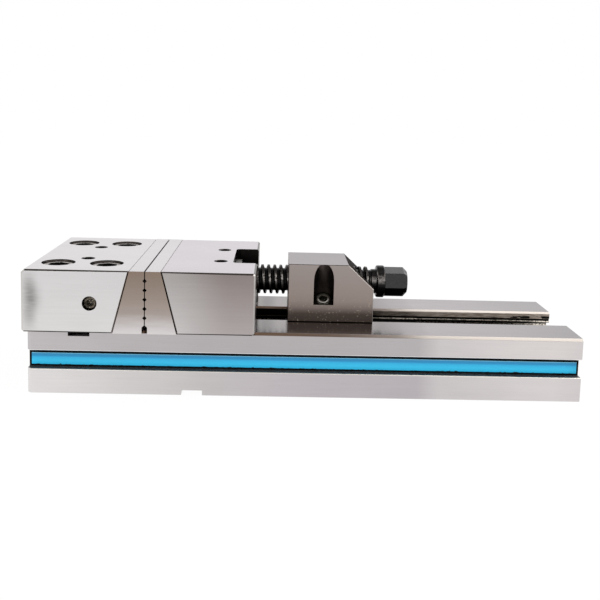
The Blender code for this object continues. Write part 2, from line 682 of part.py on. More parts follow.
def make_movable_jaw(colour, parent):
    """Make the movable jaw block: recess for the nut block, thrust bore and screw holes."""
    outline = [
        (MOVABLE_FACE + slant_at(SEAT), SEAT),
        (MOVABLE_FACE, JAW_TOP),
        (MOVABLE_REAR - JAW_EDGE_CHAMFER, JAW_TOP),
        (MOVABLE_REAR, JAW_TOP - JAW_EDGE_CHAMFER),
        (MOVABLE_REAR, SEAT + JAW_BASE_CHAMFER),
        (MOVABLE_REAR - JAW_BASE_CHAMFER, SEAT),
    ]
    bm = prism_along_y(outline, HALF_JAW, JAW_EDGE_CHAMFER)
    jaw = add_piece("movable_jaw", to_mesh("movable_jaw", bm), colour, parent)
    recess = prism_along_z(rounded_outline(2 * RECESS_DEPTH, RECESS_WIDTH, RECESS_CORNER), 0, 2 * JAW_TOP)
    cut(jaw, "recess", to_mesh("recess", recess), Matrix.Translation((MOVABLE_REAR, 0, 0)))
    bore_depth = RECESS_FLOOR - THRUST_BORE_END
    bore = cylinder(NOSE_DIAMETER + 2 * FIT, -bore_depth, RECESS_DEPTH / 2, ROUND_SIDES)
    cut(jaw, "thrust_bore", bore, spindle_frame(RECESS_FLOOR))
    cut_eye_holes(jaw, MOVABLE_REAR - MOVABLE_EYE_FROM_REAR)
    hole = cylinder(KEEPER_SCREW_DIAMETER + 2 * FIT, -KEEPER_SCREW_LENGTH, KEEPER_THICKNESS / 2)
    for side in SIDES:
        cut(jaw, f"{ENDS[side]}_keeper_screw_hole", hole, keeper_screw_frame(side, RECESS_FLOOR))
    guide_tap = GUIDE_SCREW_LENGTH + guide_head_seat() - BED_HEIGHT + FIT
    hole = cylinder(M8_DIAMETER + 2 * FIT, -guide_tap, guide_tap)
    for number, x in enumerate(guide_screw_places(), start=1):
        mouth = Vector((x, 0, BED_HEIGHT))
        cut(jaw, f"guide_screw_hole_{number}", hole, frame_on(mouth, -UP))
    cut_plate_screw_holes(jaw, -1, MOVABLE_FACE)


def spindle_frame(x, side=0, offset=0.0):
    """Return a frame on the spindle's axis at an X, with its Z along +X."""
    origin = Vector((x, side * offset, SPINDLE_HEIGHT))
    return frame_on(origin, ALONG_X, ALONG_Y)


def keeper_screw_frame(side, x):
    """Return the frame of a keeper screw, level with the spindle's axis, at an X."""
    return spindle_frame(x, side, KEEPER_SCREW_SPACING / 2)


def guide_outline():
    """Return the cross-section of a guide that runs in the bed's T-slot."""
    stem = HALF_SLOT - FIT
    flange = HALF_T_SLOT - SLIDE_FIT
    flange_top = SLOT_LIP_BOTTOM - SLIDE_FIT
    half = [(flange, GUIDE_BOTTOM), (flange, flange_top), (stem, flange_top), (stem, BED_HEIGHT)]
    return mirrored(half)


def guide_head_seat():
    """Return the height of the seat under a guide screw's head."""
    return GUIDE_BOTTOM + GUIDE_SCREW_SINK + M8_DIAMETER


def guide_screw_places():
    """Return the X of the two screws that hold the movable jaw's guide."""
    middle = MOVABLE_REAR - JAW_GUIDE_FROM_REAR - JAW_GUIDE_LENGTH / 2
    return [middle - GUIDE_SCREW_SPACING / 2, middle + GUIDE_SCREW_SPACING / 2]


def make_jaw_guide(colour, screw_colour, parent):
    """Make the guide under the movable jaw, and its two screws, which go in from below."""
    rear = MOVABLE_REAR - JAW_GUIDE_FROM_REAR
    bm = prism_along_x(guide_outline(), rear - JAW_GUIDE_LENGTH, rear)
    guide = add_piece("jaw_guide", to_mesh("jaw_guide", bm), colour, parent)
    head_depth = GUIDE_SCREW_SINK + M8_DIAMETER + FIT
    hole = stepped_hole(M8_DIAMETER + 2 * FIT, BED_HEIGHT, M8_HEAD + 2 * FIT, head_depth)
    screw = cap_screw(M8_DIAMETER, M8_HEAD, GUIDE_SCREW_LENGTH, M8_SOCKET)
    for number, x in enumerate(guide_screw_places(), start=1):
        mouth = Vector((x, 0, GUIDE_BOTTOM))
        cut(guide, f"screw_hole_{number}", hole, frame_on(mouth, -UP))
        seat = Vector((x, 0, guide_head_seat()))
        add_piece(f"jaw_guide_screw_{number}", screw, screw_colour, parent, frame_on(seat, -UP))


def make_thrust_pad(colour, parent):
    """Make the hard pad at the end of the thrust bore, which the spindle's nose pushes."""
    radius = NOSE_DIAMETER / 2
    profile = [
        (radius - THRUST_PAD_CHAMFER, 0),
        (radius, THRUST_PAD_CHAMFER),
        (radius, THRUST_PAD_THICKNESS - THRUST_PAD_CHAMFER),
        (radius - THRUST_PAD_CHAMFER, THRUST_PAD_THICKNESS),
    ]
    mesh = to_mesh("thrust_pad", turned(profile), smooth_angle=SMOOTH_ANGLE)
    add_piece("thrust_pad", mesh, colour, parent, spindle_frame(THRUST_BORE_END + FIT))


def keeper_outline():
    """Return the keeper's outline: a plate with a slot, open below, that spans the nose's groove."""
    slot = KEEPER_GROOVE_DIAMETER / 2 + FIT
    steps = ROUND_SIDES // 2
    outline = [(-slot, SPINDLE_HEIGHT - KEEPER_BELOW_AXIS)]
    for step in range(steps + 1):
        angle = math.pi * (1 - step / steps)
        outline.append((slot * math.cos(angle), SPINDLE_HEIGHT + slot * math.sin(angle)))
    outline.append((slot, SPINDLE_HEIGHT - KEEPER_BELOW_AXIS))
    outline.append((KEEPER_WIDTH / 2, SPINDLE_HEIGHT - KEEPER_BELOW_AXIS))
    outline.append((KEEPER_WIDTH / 2, SPINDLE_HEIGHT + KEEPER_ABOVE_AXIS))
    outline.append((-KEEPER_WIDTH / 2, SPINDLE_HEIGHT + KEEPER_ABOVE_AXIS))
    outline.append((-KEEPER_WIDTH / 2, SPINDLE_HEIGHT - KEEPER_BELOW_AXIS))
    return outline


def make_keeper(colour, screw_colour, parent):
    """Make the keeper that holds the spindle's nose in the jaw, and its two flat head screws."""
    bm = prism_along_x(keeper_outline(), KEEPER_FRONT, KEEPER_REAR)
    keeper = add_piece("keeper", to_mesh("keeper", bm), colour, parent)
    hole = sunk_hole(KEEPER_SCREW_DIAMETER + 2 * FIT, 2 * KEEPER_THICKNESS, KEEPER_SCREW_HEAD + 2 * FIT)
    screw = countersunk_screw(
        KEEPER_SCREW_DIAMETER, KEEPER_SCREW_HEAD, KEEPER_SCREW_LENGTH, KEEPER_SCREW_SOCKET
    )
    for side in SIDES:
        place = keeper_screw_frame(side, KEEPER_REAR)
        cut(keeper, f"{ENDS[side]}_screw_hole", hole, place)
        add_piece(f"keeper_screw_{ENDS[side]}", screw, screw_colour, parent, place)


def thread_profile():
    """Return one turn of the trapezoidal thread as (axial share of the pitch, radius) points."""
    root = THREAD_ROOT / 2
    crest = THREAD_DIAMETER / 2
    gap = 1 - THREAD_CREST_SHARE - 2 * THREAD_FLANK_SHARE
    return [
        (0, root),
        (gap, root),
        (gap + THREAD_FLANK_SHARE, crest),
        (gap + THREAD_FLANK_SHARE + THREAD_CREST_SHARE, crest),
    ]


def helix(bm, start, steps, sides):
    """Add a right-hand thread round Z from a height up, and return its columns of vertices.

    Column i holds the profile's points at angle i. The last point of a turn is the first of the
    next, one full turn of columns further on, so the thread is one continuous sheet.
    """
    profile = thread_profile()
    columns = []
    for index in range(steps + 1):
        angle = 2 * math.pi * index / sides
        base = start + THREAD_PITCH * index / sides
        column = []
        for share, radius in profile:
            height = base + share * THREAD_PITCH
            column.append(bm.verts.new((radius * math.cos(angle), radius * math.sin(angle), height)))
        columns.append(column)
    root = THREAD_ROOT / 2
    for index in range(steps + 1 - sides, steps + 1):
        angle = 2 * math.pi * index / sides
        height = start + THREAD_PITCH * (index / sides + 1)
        columns.append([bm.verts.new((root * math.cos(angle), root * math.sin(angle), height))])
    for index in range(steps):
        left = columns[index] + [columns[index + sides][0]]
        right = columns[index + 1] + [columns[index + sides + 1][0]]
        for low in range(len(profile)):
            bm.faces.new((left[low], right[low], right[low + 1], left[low + 1]))
    return columns


def cap_helix(bm, columns, steps, sides, lower_ring, upper_ring):
    """Join the thread's stepped first and last edges to plain rings, with a blunt start and end."""
    for index in range(sides):
        after = (index + 1) % sides
        first = columns[index][0]
        second = columns[index + 1][0]
        bm.faces.new((lower_ring[index], lower_ring[after], second, first))
    bm.faces.new([lower_ring[0]] + columns[0] + [columns[sides][0]])
    for index in range(steps, steps + sides):
        first = columns[index][0]
        second = columns[index + 1][0]
        bm.faces.new((first, second, upper_ring[(index + 1) % sides], upper_ring[index % sides]))
    end = columns[steps] + [columns[steps + sides][0]]
    bm.faces.new(end + [upper_ring[steps % sides]])


def make_spindle(colour, parent):
    """Make the spindle: grooved nose, trapezoidal thread, neck, collar and drive hexagon."""
    bm = bmesh.new()
    sides = ROUND_SIDES
    origin = KEEPER_FRONT
    groove_start = -FIT
    groove_end = KEEPER_THICKNESS + FIT
    nose = NOSE_DIAMETER / 2
    groove = KEEPER_GROOVE_DIAMETER / 2
    root = THREAD_ROOT / 2
    left_profile = [
        (nose - NOSE_CHAMFER, groove_start - NOSE_LENGTH),
        (nose, groove_start - NOSE_LENGTH + NOSE_CHAMFER),
        (nose, groove_start),
        (groove, groove_start),
        (groove, groove_end),
        (root, groove_end),
    ]
    rings = [ring(bm, radius, height, sides) for radius, height in left_profile]
    thread_start = THREAD_START - origin
    thread_length = NECK_START - THREAD_RUN_OUT - THREAD_START
    steps = int(thread_length / THREAD_PITCH * sides) - sides
    columns = helix(bm, thread_start, steps, sides)
    for lower, upper in zip(rings, rings[1:]):
        skin(bm, lower, upper)
    bm.faces.new(rings[0])
    collar = COLLAR_DIAMETER / 2
    neck = NECK_DIAMETER / 2
    neck_start = NECK_START - origin
    collar_start = COLLAR_START - origin
    hex_start = HEX_START - origin
    hex_end = HEX_END - origin
    right_rings = [
        ring(bm, root, neck_start, sides),
        ring(bm, neck, neck_start + (neck - root), sides),
        ring(bm, neck, collar_start, sides),
        ring(bm, collar - COLLAR_CHAMFER, collar_start, sides),
        ring(bm, collar, collar_start + COLLAR_CHAMFER, sides),
        ring(bm, collar, hex_start - COLLAR_CHAMFER, sides),
        ring(bm, collar - COLLAR_CHAMFER, hex_start, sides),
        ring(bm, HEX_FLATS / 2, hex_start, sides, hexagon=True, turn=HEX_TURN),
        ring(bm, HEX_FLATS / 2, hex_end - HEX_END_CHAMFER, sides, hexagon=True, turn=HEX_TURN),
        ring(bm, HEX_FLATS / 2 - HEX_END_CHAMFER / 2, hex_end, sides),
    ]
    for lower, upper in zip(right_rings, right_rings[1:]):
        skin(bm, lower, upper)
    bm.faces.new(right_rings[-1])
    cap_helix(bm, columns, steps, sides, rings[-1], right_rings[0])
    mesh = to_mesh("spindle", bm, smooth_angle=SMOOTH_ANGLE)
    add_piece("spindle", mesh, colour, parent, spindle_frame(origin))


def pocket_frame(side):
    """Return the frame of a nut block pocket: origin on its floor at the block's side, Z up its axis."""
    origin = Vector((
        NUT_FRONT + POCKET_FROM_FRONT,
        side * NUT_WIDTH / 2,
        BED_HEIGHT + POCKET_FLOOR_ABOVE_BED,
    ))
    axis = Vector((0, side * math.sin(POCKET_TILT), math.cos(POCKET_TILT)))
    return frame_on(origin, axis)


def pocket_outline(side):
    """Return the pocket's outline on its floor: a slot that is open outwards and round inside."""
    radius = POCKET_WIDTH / 2
    steps = ROUND_SIDES // 2
    inward = -side
    outline = []
    for step in range(steps + 1):
        angle = math.pi * step / steps
        x = radius * math.cos(angle)
        y = inward * (POCKET_REACH + radius * math.sin(angle))
        outline.append((x, y))
    outline.append((-radius, -inward * NUT_HEIGHT))
    outline.append((radius, -inward * NUT_HEIGHT))
    return outline


def pocket_screw_frame(side, depth):
    """Return the frame of a clamping screw, a depth below the pocket's floor."""
    return pocket_frame(side) @ Matrix.Translation((0, -side * POCKET_SCREW_REACH, -depth))


def make_nut_block(colour, parent):
    """Make the nut block: slope, spindle bore, tilted pockets and holes for its clamping screws."""
    outline = [
        (NUT_FRONT, SEAT),
        (NUT_REAR, SEAT),
        (NUT_REAR, BED_HEIGHT + NUT_HEIGHT - NUT_SLOPE_DROP),
        (NUT_REAR - NUT_SLOPE_RUN, BED_HEIGHT + NUT_HEIGHT),
        (NUT_FRONT, BED_HEIGHT + NUT_HEIGHT),
    ]
    bm = prism_along_y(outline, NUT_WIDTH / 2, NUT_EDGE_CHAMFER)
    block = add_piece("nut_block", to_mesh("nut_block", bm), colour, parent)
    bore = THREAD_DIAMETER + 2 * FIT
    hole = turned([
        (bore / 2 + NUT_BORE_SINK, -NUT_BORE_SINK),
        (bore / 2 + NUT_BORE_SINK, 0),
        (bore / 2, NUT_BORE_SINK),
        (bore / 2, 2 * NUT_LENGTH),
    ], LARGE_ROUND_SIDES)
    cut(block, "spindle_bore", to_mesh("spindle_bore", hole), spindle_frame(NUT_FRONT))
    for side in SIDES:
        pocket = prism_along_z(pocket_outline(side), 0, 2 * NUT_HEIGHT)
        cut(block, f"{ENDS[side]}_pocket", to_mesh("pocket", pocket), pocket_frame(side))
        head_depth = M8_DIAMETER + FIT
        hole = stepped_hole(M8_DIAMETER + 2 * FIT, NUT_WIDTH, POCKET_SCREW_BORE, head_depth)
        cut(block, f"{ENDS[side]}_clamp_hole", hole, pocket_screw_frame(side, 0))


def make_nut_guide(colour, screw_colour, parent):
    """Make the guide that the nut block is clamped to, and the two tilted clamping screws.

    Behind the nut block, the guide's flange goes on as a low tail under the bed's lips.
    """
    stem_start = (NUT_FRONT + NUT_REAR - NUT_GUIDE_LENGTH) / 2
    stem_end = stem_start + NUT_GUIDE_LENGTH
    tail_end = NUT_REAR + NUT_GUIDE_TAIL
    bm = prism_along_x(guide_outline(), stem_start, tail_end)
    guide = add_piece("nut_guide", to_mesh("nut_guide", bm), colour, parent)
    tail_top = SLOT_LIP_BOTTOM - SLIDE_FIT - NUT_GUIDE_TAIL_STEP
    above_tail = rectangle((stem_end, tail_top), (2 * tail_end, JAW_TOP))
    cut(guide, "above_tail", to_mesh("above_tail", prism_along_y(above_tail, BED_WIDTH)))
    screw = cap_screw(M8_DIAMETER, M8_HEAD, POCKET_SCREW_LENGTH, M8_SOCKET)
    hole = cylinder(M8_DIAMETER + 2 * FIT, -M8_DIAMETER - POCKET_SCREW_LENGTH - 2 * FIT, 0)
    for side in SIDES:
        cut(guide, f"{ENDS[side]}_clamp_hole", hole, pocket_screw_frame(side, 0))
        place = pocket_screw_frame(side, M8_DIAMETER)
        add_piece(f"nut_clamp_screw_{ENDS[side]}", screw, screw_colour, parent, place)


def main():
    """Build the whole vise."""
    clear_scene()
    ground = finish("ground_steel", (0.62, 0.61, 0.60), 0.32)
    jaw_steel = finish("jaw_steel", (0.66, 0.65, 0.64), 0.28)
    nut_steel = finish("nut_steel", (0.40, 0.37, 0.35), 0.38)
    hard_steel = finish("hard_steel", (0.50, 0.50, 0.50), 0.30)
    black = finish("black_oxide", (0.035, 0.036, 0.035), 0.42)
    blue = finish("blue_strip", (0.05, 0.41, 0.80), 0.35, metallic=0.0)

    bed_group = empty("bed_group", Vector((0, 0, 0)))
    nut_group = empty("nut_group", Vector((NUT_FRONT, 0, BED_HEIGHT)), bed_group)
    jaw_group = empty("jaw_group", Vector((MOVABLE_FACE, 0, BED_HEIGHT)), nut_group)
    spindle_group = empty("spindle_group", Vector((RECESS_FLOOR, 0, SPINDLE_HEIGHT)), jaw_group)

    make_bed(ground, bed_group)
    make_strips(blue, bed_group)
    make_fixed_jaw(jaw_steel, bed_group)
    make_fixed_jaw_fasteners(black, bed_group)
    make_plate("fixed_jaw_plate", GRIP_PLANE, -1, jaw_steel, black, bed_group)

    make_movable_jaw(jaw_steel, jaw_group)
    make_plate("movable_jaw_plate", GRIP_PLANE + GRIP_GAP, 1, jaw_steel, black, jaw_group)
    make_jaw_guide(hard_steel, black, jaw_group)
    make_thrust_pad(hard_steel, jaw_group)
    make_keeper(hard_steel, black, jaw_group)

    make_spindle(black, spindle_group)

    make_nut_block(nut_steel, nut_group)
    make_nut_guide(hard_steel, black, nut_group)


main()
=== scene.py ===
# %% [markdown]
# # A modular machine vise
# The vise is a long ground bed with a bolted fixed jaw, a movable jaw behind it, and a nut block
# whose spindle drives that jaw. Its solids come ready from the frame: each has its real size and
# already moves with its body. This script gives them their finish. It places the camera, makes
# ground steel, blackened steel and blue plastic with patterns that are computed from each point's
# place, and paints some shade, highlights and reflections into their colours. It rounds the edges
# of the pieces that show, and cuts the two jaw plates anew. Floor and lights come last.

# %% Load the frame
import json
import math

import bpy
from mathutils import Matrix, Vector

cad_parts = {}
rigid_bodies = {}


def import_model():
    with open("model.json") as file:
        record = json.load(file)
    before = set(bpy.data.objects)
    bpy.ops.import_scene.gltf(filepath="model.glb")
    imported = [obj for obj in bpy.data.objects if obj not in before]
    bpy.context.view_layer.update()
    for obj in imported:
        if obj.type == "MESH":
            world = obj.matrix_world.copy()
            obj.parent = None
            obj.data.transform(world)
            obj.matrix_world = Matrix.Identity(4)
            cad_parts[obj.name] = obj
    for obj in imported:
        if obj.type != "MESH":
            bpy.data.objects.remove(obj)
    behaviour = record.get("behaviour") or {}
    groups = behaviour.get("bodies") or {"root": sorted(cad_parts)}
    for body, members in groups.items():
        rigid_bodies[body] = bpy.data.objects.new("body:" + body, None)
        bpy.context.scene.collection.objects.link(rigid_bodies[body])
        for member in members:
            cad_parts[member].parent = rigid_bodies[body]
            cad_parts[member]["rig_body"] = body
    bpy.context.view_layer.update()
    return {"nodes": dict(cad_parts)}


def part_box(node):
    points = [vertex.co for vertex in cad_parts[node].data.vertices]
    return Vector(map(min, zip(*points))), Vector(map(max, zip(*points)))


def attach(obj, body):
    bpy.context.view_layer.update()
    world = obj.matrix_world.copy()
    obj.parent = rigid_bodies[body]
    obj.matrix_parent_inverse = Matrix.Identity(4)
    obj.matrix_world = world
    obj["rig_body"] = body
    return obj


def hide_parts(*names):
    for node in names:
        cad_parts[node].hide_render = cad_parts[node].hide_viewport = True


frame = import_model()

MM = 0.001
nodes = frame["nodes"]

# %% [markdown]
# ## The camera
# The photograph was taken with a longish lens from just above the vise, a little left of its
# middle. Its straight edges give the camera's place, its tilt and its lens. The picture was cut
# from a larger one, so its middle isn't the lens's middle, and a small shift stands for that.

# %% Place the camera
PICTURE_SIDE = 600
FOCAL_PIXELS = 876.6
LENS_MIDDLE = (306.27, 209.02)
SENSOR_WIDTH = 36.0
CAMERA_PLACE = Vector((-26.23, -712.04, 226.39)) * MM
CAMERA_YAW = -0.0347
CAMERA_PITCH = 0.1241
CAMERA_ROLL = 0.0289


def add_camera():
    """Stand the camera where the photograph was taken."""
    lens = bpy.data.cameras.new("camera")
    lens.sensor_width = SENSOR_WIDTH
    lens.lens = FOCAL_PIXELS / PICTURE_SIDE * SENSOR_WIDTH
    lens.shift_x = 0.5 - LENS_MIDDLE[0] / PICTURE_SIDE
    lens.shift_y = LENS_MIDDLE[1] / PICTURE_SIDE - 0.5
    lens.clip_start = 0.01
    camera = bpy.data.objects.new("camera", lens)
    bpy.context.scene.collection.objects.link(camera)
    turn = Matrix.Rotation(CAMERA_YAW, 4, "Z")
    tilt = Matrix.Rotation(math.pi / 2 - CAMERA_PITCH, 4, "X")
    roll = Matrix.Rotation(CAMERA_ROLL, 4, "Z")
    camera.matrix_world = Matrix.Translation(CAMERA_PLACE) @ turn @ tilt @ roll
    bpy.context.scene.camera = camera
    return camera


camera = add_camera()
print(f"lens {camera.data.lens:.1f} mm, shift {camera.data.shift_x:.3f}, {camera.data.shift_y:.3f}")

# %% [markdown]
# ## Arithmetic with sockets
# A pattern is a small calculation on a point's place. Written with nodes it is hard to read, so
# `Wire` wraps an output and lets Python's own signs add the Math nodes, and `Finish` holds one
# material and adds every other kind of node by one method.

# %% A wire


class Wire:
    """One output of a node, which takes part in sums like a number."""

    def __init__(self, finish, socket):
        self.finish = finish
        self.socket = socket

    def maths(self, operation, first, second):
        """Add a Math node on two wires or numbers."""
        return self.finish.node("ShaderNodeMath", {"operation": operation}, {0: first, 1: second})

    def __add__(self, other):
        return self.maths("ADD", self, other)

    def __radd__(self, other):
        return self.maths("ADD", other, self)

    def __sub__(self, other):
        return self.maths("SUBTRACT", self, other)

    def __rsub__(self, other):
        return self.maths("SUBTRACT", other, self)

    def __mul__(self, other):
        return self.maths("MULTIPLY", self, other)

    def __rmul__(self, other):
        return self.maths("MULTIPLY", other, self)

    def __abs__(self):
        return self.maths("ABSOLUTE", self, 0.0)

    def larger(self, other):
        """The larger of this wire and another."""
        return self.maths("MAXIMUM", self, other)

    def twin(self, name):
        """Another output of the same node."""
        return Wire(self.finish, self.socket.node.outputs[name])


print("a wire adds a Math node for +, -, *, abs and larger")

# %% A finish


class Finish:
    """One material: its main shader, and the nodes that vary it."""

    def __init__(self, name, **constants):
        self.material = bpy.data.materials.new(name)
        self.material.use_nodes = True
        self.tree = self.material.node_tree
        self.shader = self.tree.nodes["Principled BSDF"]
        for socket, value in constants.items():
            self.shader.inputs[socket.replace("_", " ")].default_value = value
        self.place = self.node("ShaderNodeTexCoord", output="Object")
        self.x = self.node("ShaderNodeSeparateXYZ", {}, {0: self.place}, "X")
        self.y = self.x.twin("Y")
        self.z = self.x.twin("Z")
        facing = self.place.twin("Normal")
        self.facing_x = self.node("ShaderNodeSeparateXYZ", {}, {0: facing}, "X")
        self.facing_y = self.facing_x.twin("Y")
        self.facing_z = self.facing_x.twin("Z")

    def node(self, kind, settings=None, sockets=None, output=0):
        """Add a node: settings first, then its sockets' values or wires."""
        made = self.tree.nodes.new(kind)
        for key, value in (settings or {}).items():
            if key == "stops":
                ramp = made.color_ramp
                for place, colour in value[len(ramp.elements):]:
                    ramp.elements.new(place)
                for element, (place, colour) in zip(ramp.elements, value):
                    element.position = place
                    element.color = colour
            else:
                setattr(made, key, value)
        for key, value in (sockets or {}).items():
            if isinstance(value, Wire):
                self.tree.links.new(value.socket, made.inputs[key])
            else:
                made.inputs[key].default_value = value
        return Wire(self, made.outputs[output])

    def noise(self, lengths, detail=3.0, shift=0.0):
        """Noise from 0 to 1 whose blots are about as long as given, in mm, along X, Y and Z."""
        scale = [1 / (length * MM) for length in lengths]
        sockets = {"Vector": self.place, "Scale": scale, "Location": (shift,) * 3}
        stretched = self.node("ShaderNodeMapping", {}, sockets)
        sockets = {"Vector": stretched, "Scale": 1.0, "Detail": detail}
        return self.node("ShaderNodeTexNoise", {}, sockets)

    def rise(self, value, low, high):
        """A soft step: 0 below the low value, 1 above the high one."""
        ends = {"Value": value, "From Min": low, "From Max": high}
        return self.node("ShaderNodeMapRange", {"interpolation_type": "SMOOTHSTEP"}, ends)

    def within(self, value, low, high, soft):
        """1 between two values and 0 outside, with soft ends."""
        above = self.rise(value, low - soft, low + soft)
        return above * (1 - self.rise(value, high - soft, high + soft))

    def ramp(self, value, *stops):
        """A colour that follows a value from 0 to 1."""
        return self.node("ShaderNodeValToRGB", {"stops": stops}, {0: value})

    def mix(self, share, first, second):
        """The first colour where the share is 0 and the second where it is 1."""
        parts = {"Factor": share, 6: first, 7: second}
        return self.node("ShaderNodeMix", {"data_type": "RGBA"}, parts, 2)

    def brighten(self, colour, factor):
        """A colour times a number."""
        parts = {0: colour, "Scale": factor}
        return self.node("ShaderNodeVectorMath", {"operation": "SCALE"}, parts)

    def bump(self, height, strength, depth):
        """Tilt the surface by a height from 0 to 1 that stands for a depth in mm."""
        parts = {"Height": height, "Strength": strength, "Distance": depth * MM}
        return self.node("ShaderNodeBump", {}, parts)

    def wear(self, **inputs):
        """Connect what varies to the main shader and return the material."""
        for socket, wire in inputs.items():
            self.tree.links.new(wire.socket, self.shader.inputs[socket.replace("_", " ")])
        return self.material


def screen(red, green, blue):
    """The shader's colour for the levels, 0 to 255, that a screen shows: the sRGB curve."""
    shares = [level / 255 for level in (red, green, blue)]
    linear = [s / 12.92 if s <= 0.04045 else ((s + 0.055) / 1.055) ** 2.4 for s in shares]
    return (*linear, 1.0)


print("mid grey on screen is", round(screen(128, 128, 128)[0], 3), "in a shader")

# %% [markdown]
# ## Masks
# Most patterns here are masks: a number that is 1 on one kind of place and 0 elsewhere. A face's
# direction tells a top from a wall or a chamfer, and a distance from an axis tells a hole. They
# read the piece's own coordinates, so a pattern stays on its piece when the vise opens.

# %% Masks by direction and place
TINY = 0.1 * MM


def along(value, low, high):
    """A value's place between two ends, from 0 to 1."""
    return (value - low) * (1 / (high - low))


def level(finish):
    """1 on faces that look straight up."""
    return finish.rise(finish.facing_z, 0.9, 0.98)


def steep(finish):
    """1 on walls, and 0 on faces that look up."""
    return 1 - finish.rise(finish.facing_z, 0.5, 0.9)


def chamfered(finish, facing):
    """1 where a face looks half one way and half another."""
    return finish.within(facing, 0.55, 0.85, 0.05)


def round_area(finish, offset_x, offset_y, radius):
    """1 inside a radius round one centre, given how far a point lies from it along two axes."""
    square = offset_x * offset_x + offset_y * offset_y
    return 1 - finish.rise(square, radius * radius, (radius + TINY) * (radius + TINY))


print("masks:", [mask.__name__ for mask in (level, steep, chamfered, round_area)])

# %% [markdown]
# ## Ground steel
# A surface grinder leaves fine parallel scratches, longer than they are wide, and cloudy patches
# where the wheel was dressed. Both are noise that is stretched along the grain: one fine enough to
# blur the reflections, one of a millimetre or two that shows as streaks, and one broad cloud. All
# ground pieces share this grain, and each adds its own tones.

# %% The grain that all ground faces share
SCRATCH = (14, 0.12, 0.12)
SCRATCH_DEPTH = 0.01
STREAK = (45, 1.2, 1.2)
CLOUD = (60, 22, 22)
GROUND_ROUGHNESS = 0.30
# Black for blackened steel, used also as painted shade deep in hollows, slots and grooves.
BLACK_STEEL_AND_SHADE = screen(26, 25, 24)


def ground(finish, colour, roughness=GROUND_ROUGHNESS, contrast=1.0, dull=None, relief=0.15):
    """Lay the grain over a colour, and finish the material."""
    scratches = finish.noise(SCRATCH, 2.0)
    streaks = finish.noise(STREAK, 3.0, 7.0)
    clouds = finish.noise(CLOUD, 2.0, 3.0)
    light = 1 + (streaks - 0.5) * (0.10 * contrast) + (clouds - 0.5) * (0.14 * contrast)
    light = light + (scratches - 0.5) * (0.06 * contrast)
    rough = roughness + (streaks - 0.5) * 0.10 + (scratches - 0.5) * 0.06
    if dull is not None:
        rough = rough + dull
    return finish.wear(
        Base_Color=finish.brighten(colour, light),
        Roughness=rough,
        Normal=finish.bump(scratches, relief, SCRATCH_DEPTH),
    )


print("blots of the grain in mm:", SCRATCH, STREAK, CLOUD)

# %% [markdown]
# ## The bed's outside
# The bed is ground on top and outside. Each ground band has its own tone, because each was ground
# in another setting. A ramp along the bed's length gives each band its tones, and a step in them is
# a painted reflection of the lamp. The top is darkened beside the movable jaw and on both sides of
# the nut block, as painted shade and painted reflection. The chamfers carry a painted reflection:
# dark brown where they mirror the dim ceiling, light towards the open end under the lamp.

# %% The bed's ground faces
BAND_SPLIT = (24 * MM, 28 * MM)
UPPER_EDGE = (45 * MM, 47 * MM)


def bed_outside(finish):
    """The tones of the ground faces, from the fixed jaw's end to the spindle's end, with painted
    shade and painted reflections in them.
    """
    low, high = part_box("bed")
    share = along(finish.x, low.x, high.x)
    # The step from 0.70 to 0.74 in both bands is a painted reflection: the lamp's reflection begins
    # there.
    lower = finish.ramp(
        share,
        (0.0, screen(222, 219, 218)),
        (0.3, screen(197, 193, 192)),
        (0.45, screen(189, 182, 186)),
        (0.70, screen(182, 176, 180)),
        (0.74, screen(200, 195, 195)),
        (0.95, screen(212, 207, 206)),
        (1.0, screen(206, 200, 200)),
    )
    upper = finish.ramp(
        share,
        (0.0, screen(191, 186, 187)),
        (0.4, screen(178, 173, 174)),
        (0.70, screen(181, 176, 177)),
        (0.74, screen(204, 199, 199)),
        (0.95, screen(216, 210, 208)),
        (1.0, screen(210, 205, 204)),
    )
    side = finish.mix(finish.rise(finish.z, *BAND_SPLIT), lower, upper)
    # Painted shade and painted reflection: the top darkens beside the movable jaw and on both sides
    # of the nut block.
    top = finish.ramp(
        share,
        (0.0, screen(184, 176, 178)),
        (0.38, screen(178, 170, 172)),
        (0.405, screen(134, 127, 128)),
        (0.42, screen(102, 95, 96)),
        (0.43, screen(112, 105, 106)),
        (0.445, screen(144, 137, 138)),
        (0.60, screen(150, 142, 143)),
        (0.64, screen(126, 117, 118)),
        (0.68, screen(154, 146, 148)),
        (0.71, screen(163, 155, 157)),
        (0.725, screen(173, 165, 168)),
        (0.85, screen(168, 161, 163)),
        (1.0, screen(152, 146, 148)),
    )
    colour = finish.mix(level(finish), side, top)
    # Painted reflection on the upper chamfers: dark brown towards the jaws, light towards the open
    # end.
    edge = chamfered(finish, finish.facing_z) * finish.rise(finish.z, *UPPER_EDGE)
    chamfer_reflection = finish.ramp(
        share,
        (0.43, screen(132, 110, 94)),
        (0.55, screen(116, 101, 91)),
        (0.66, screen(130, 121, 115)),
        (0.72, screen(178, 171, 164)),
    )
    return finish.mix(edge, colour, chamfer_reflection)


print("the bed's lower band turns into its upper one at", [z / MM for z in BAND_SPLIT], "mm")

# %% [markdown]
# ## The T-slot
# The slot between the rails is only milled, so its wall is brownish, with the cutter's slanting
# marks, and rough enough to scatter light near the open end, where it also has black patches. Near
# the jaw its wall and lip are painted dark, as painted shade. Below lie a relief and the T's
# inside, both painted black as shade, the T's lip with a painted highlight, and a painted lit band
# low on the T's far wall.

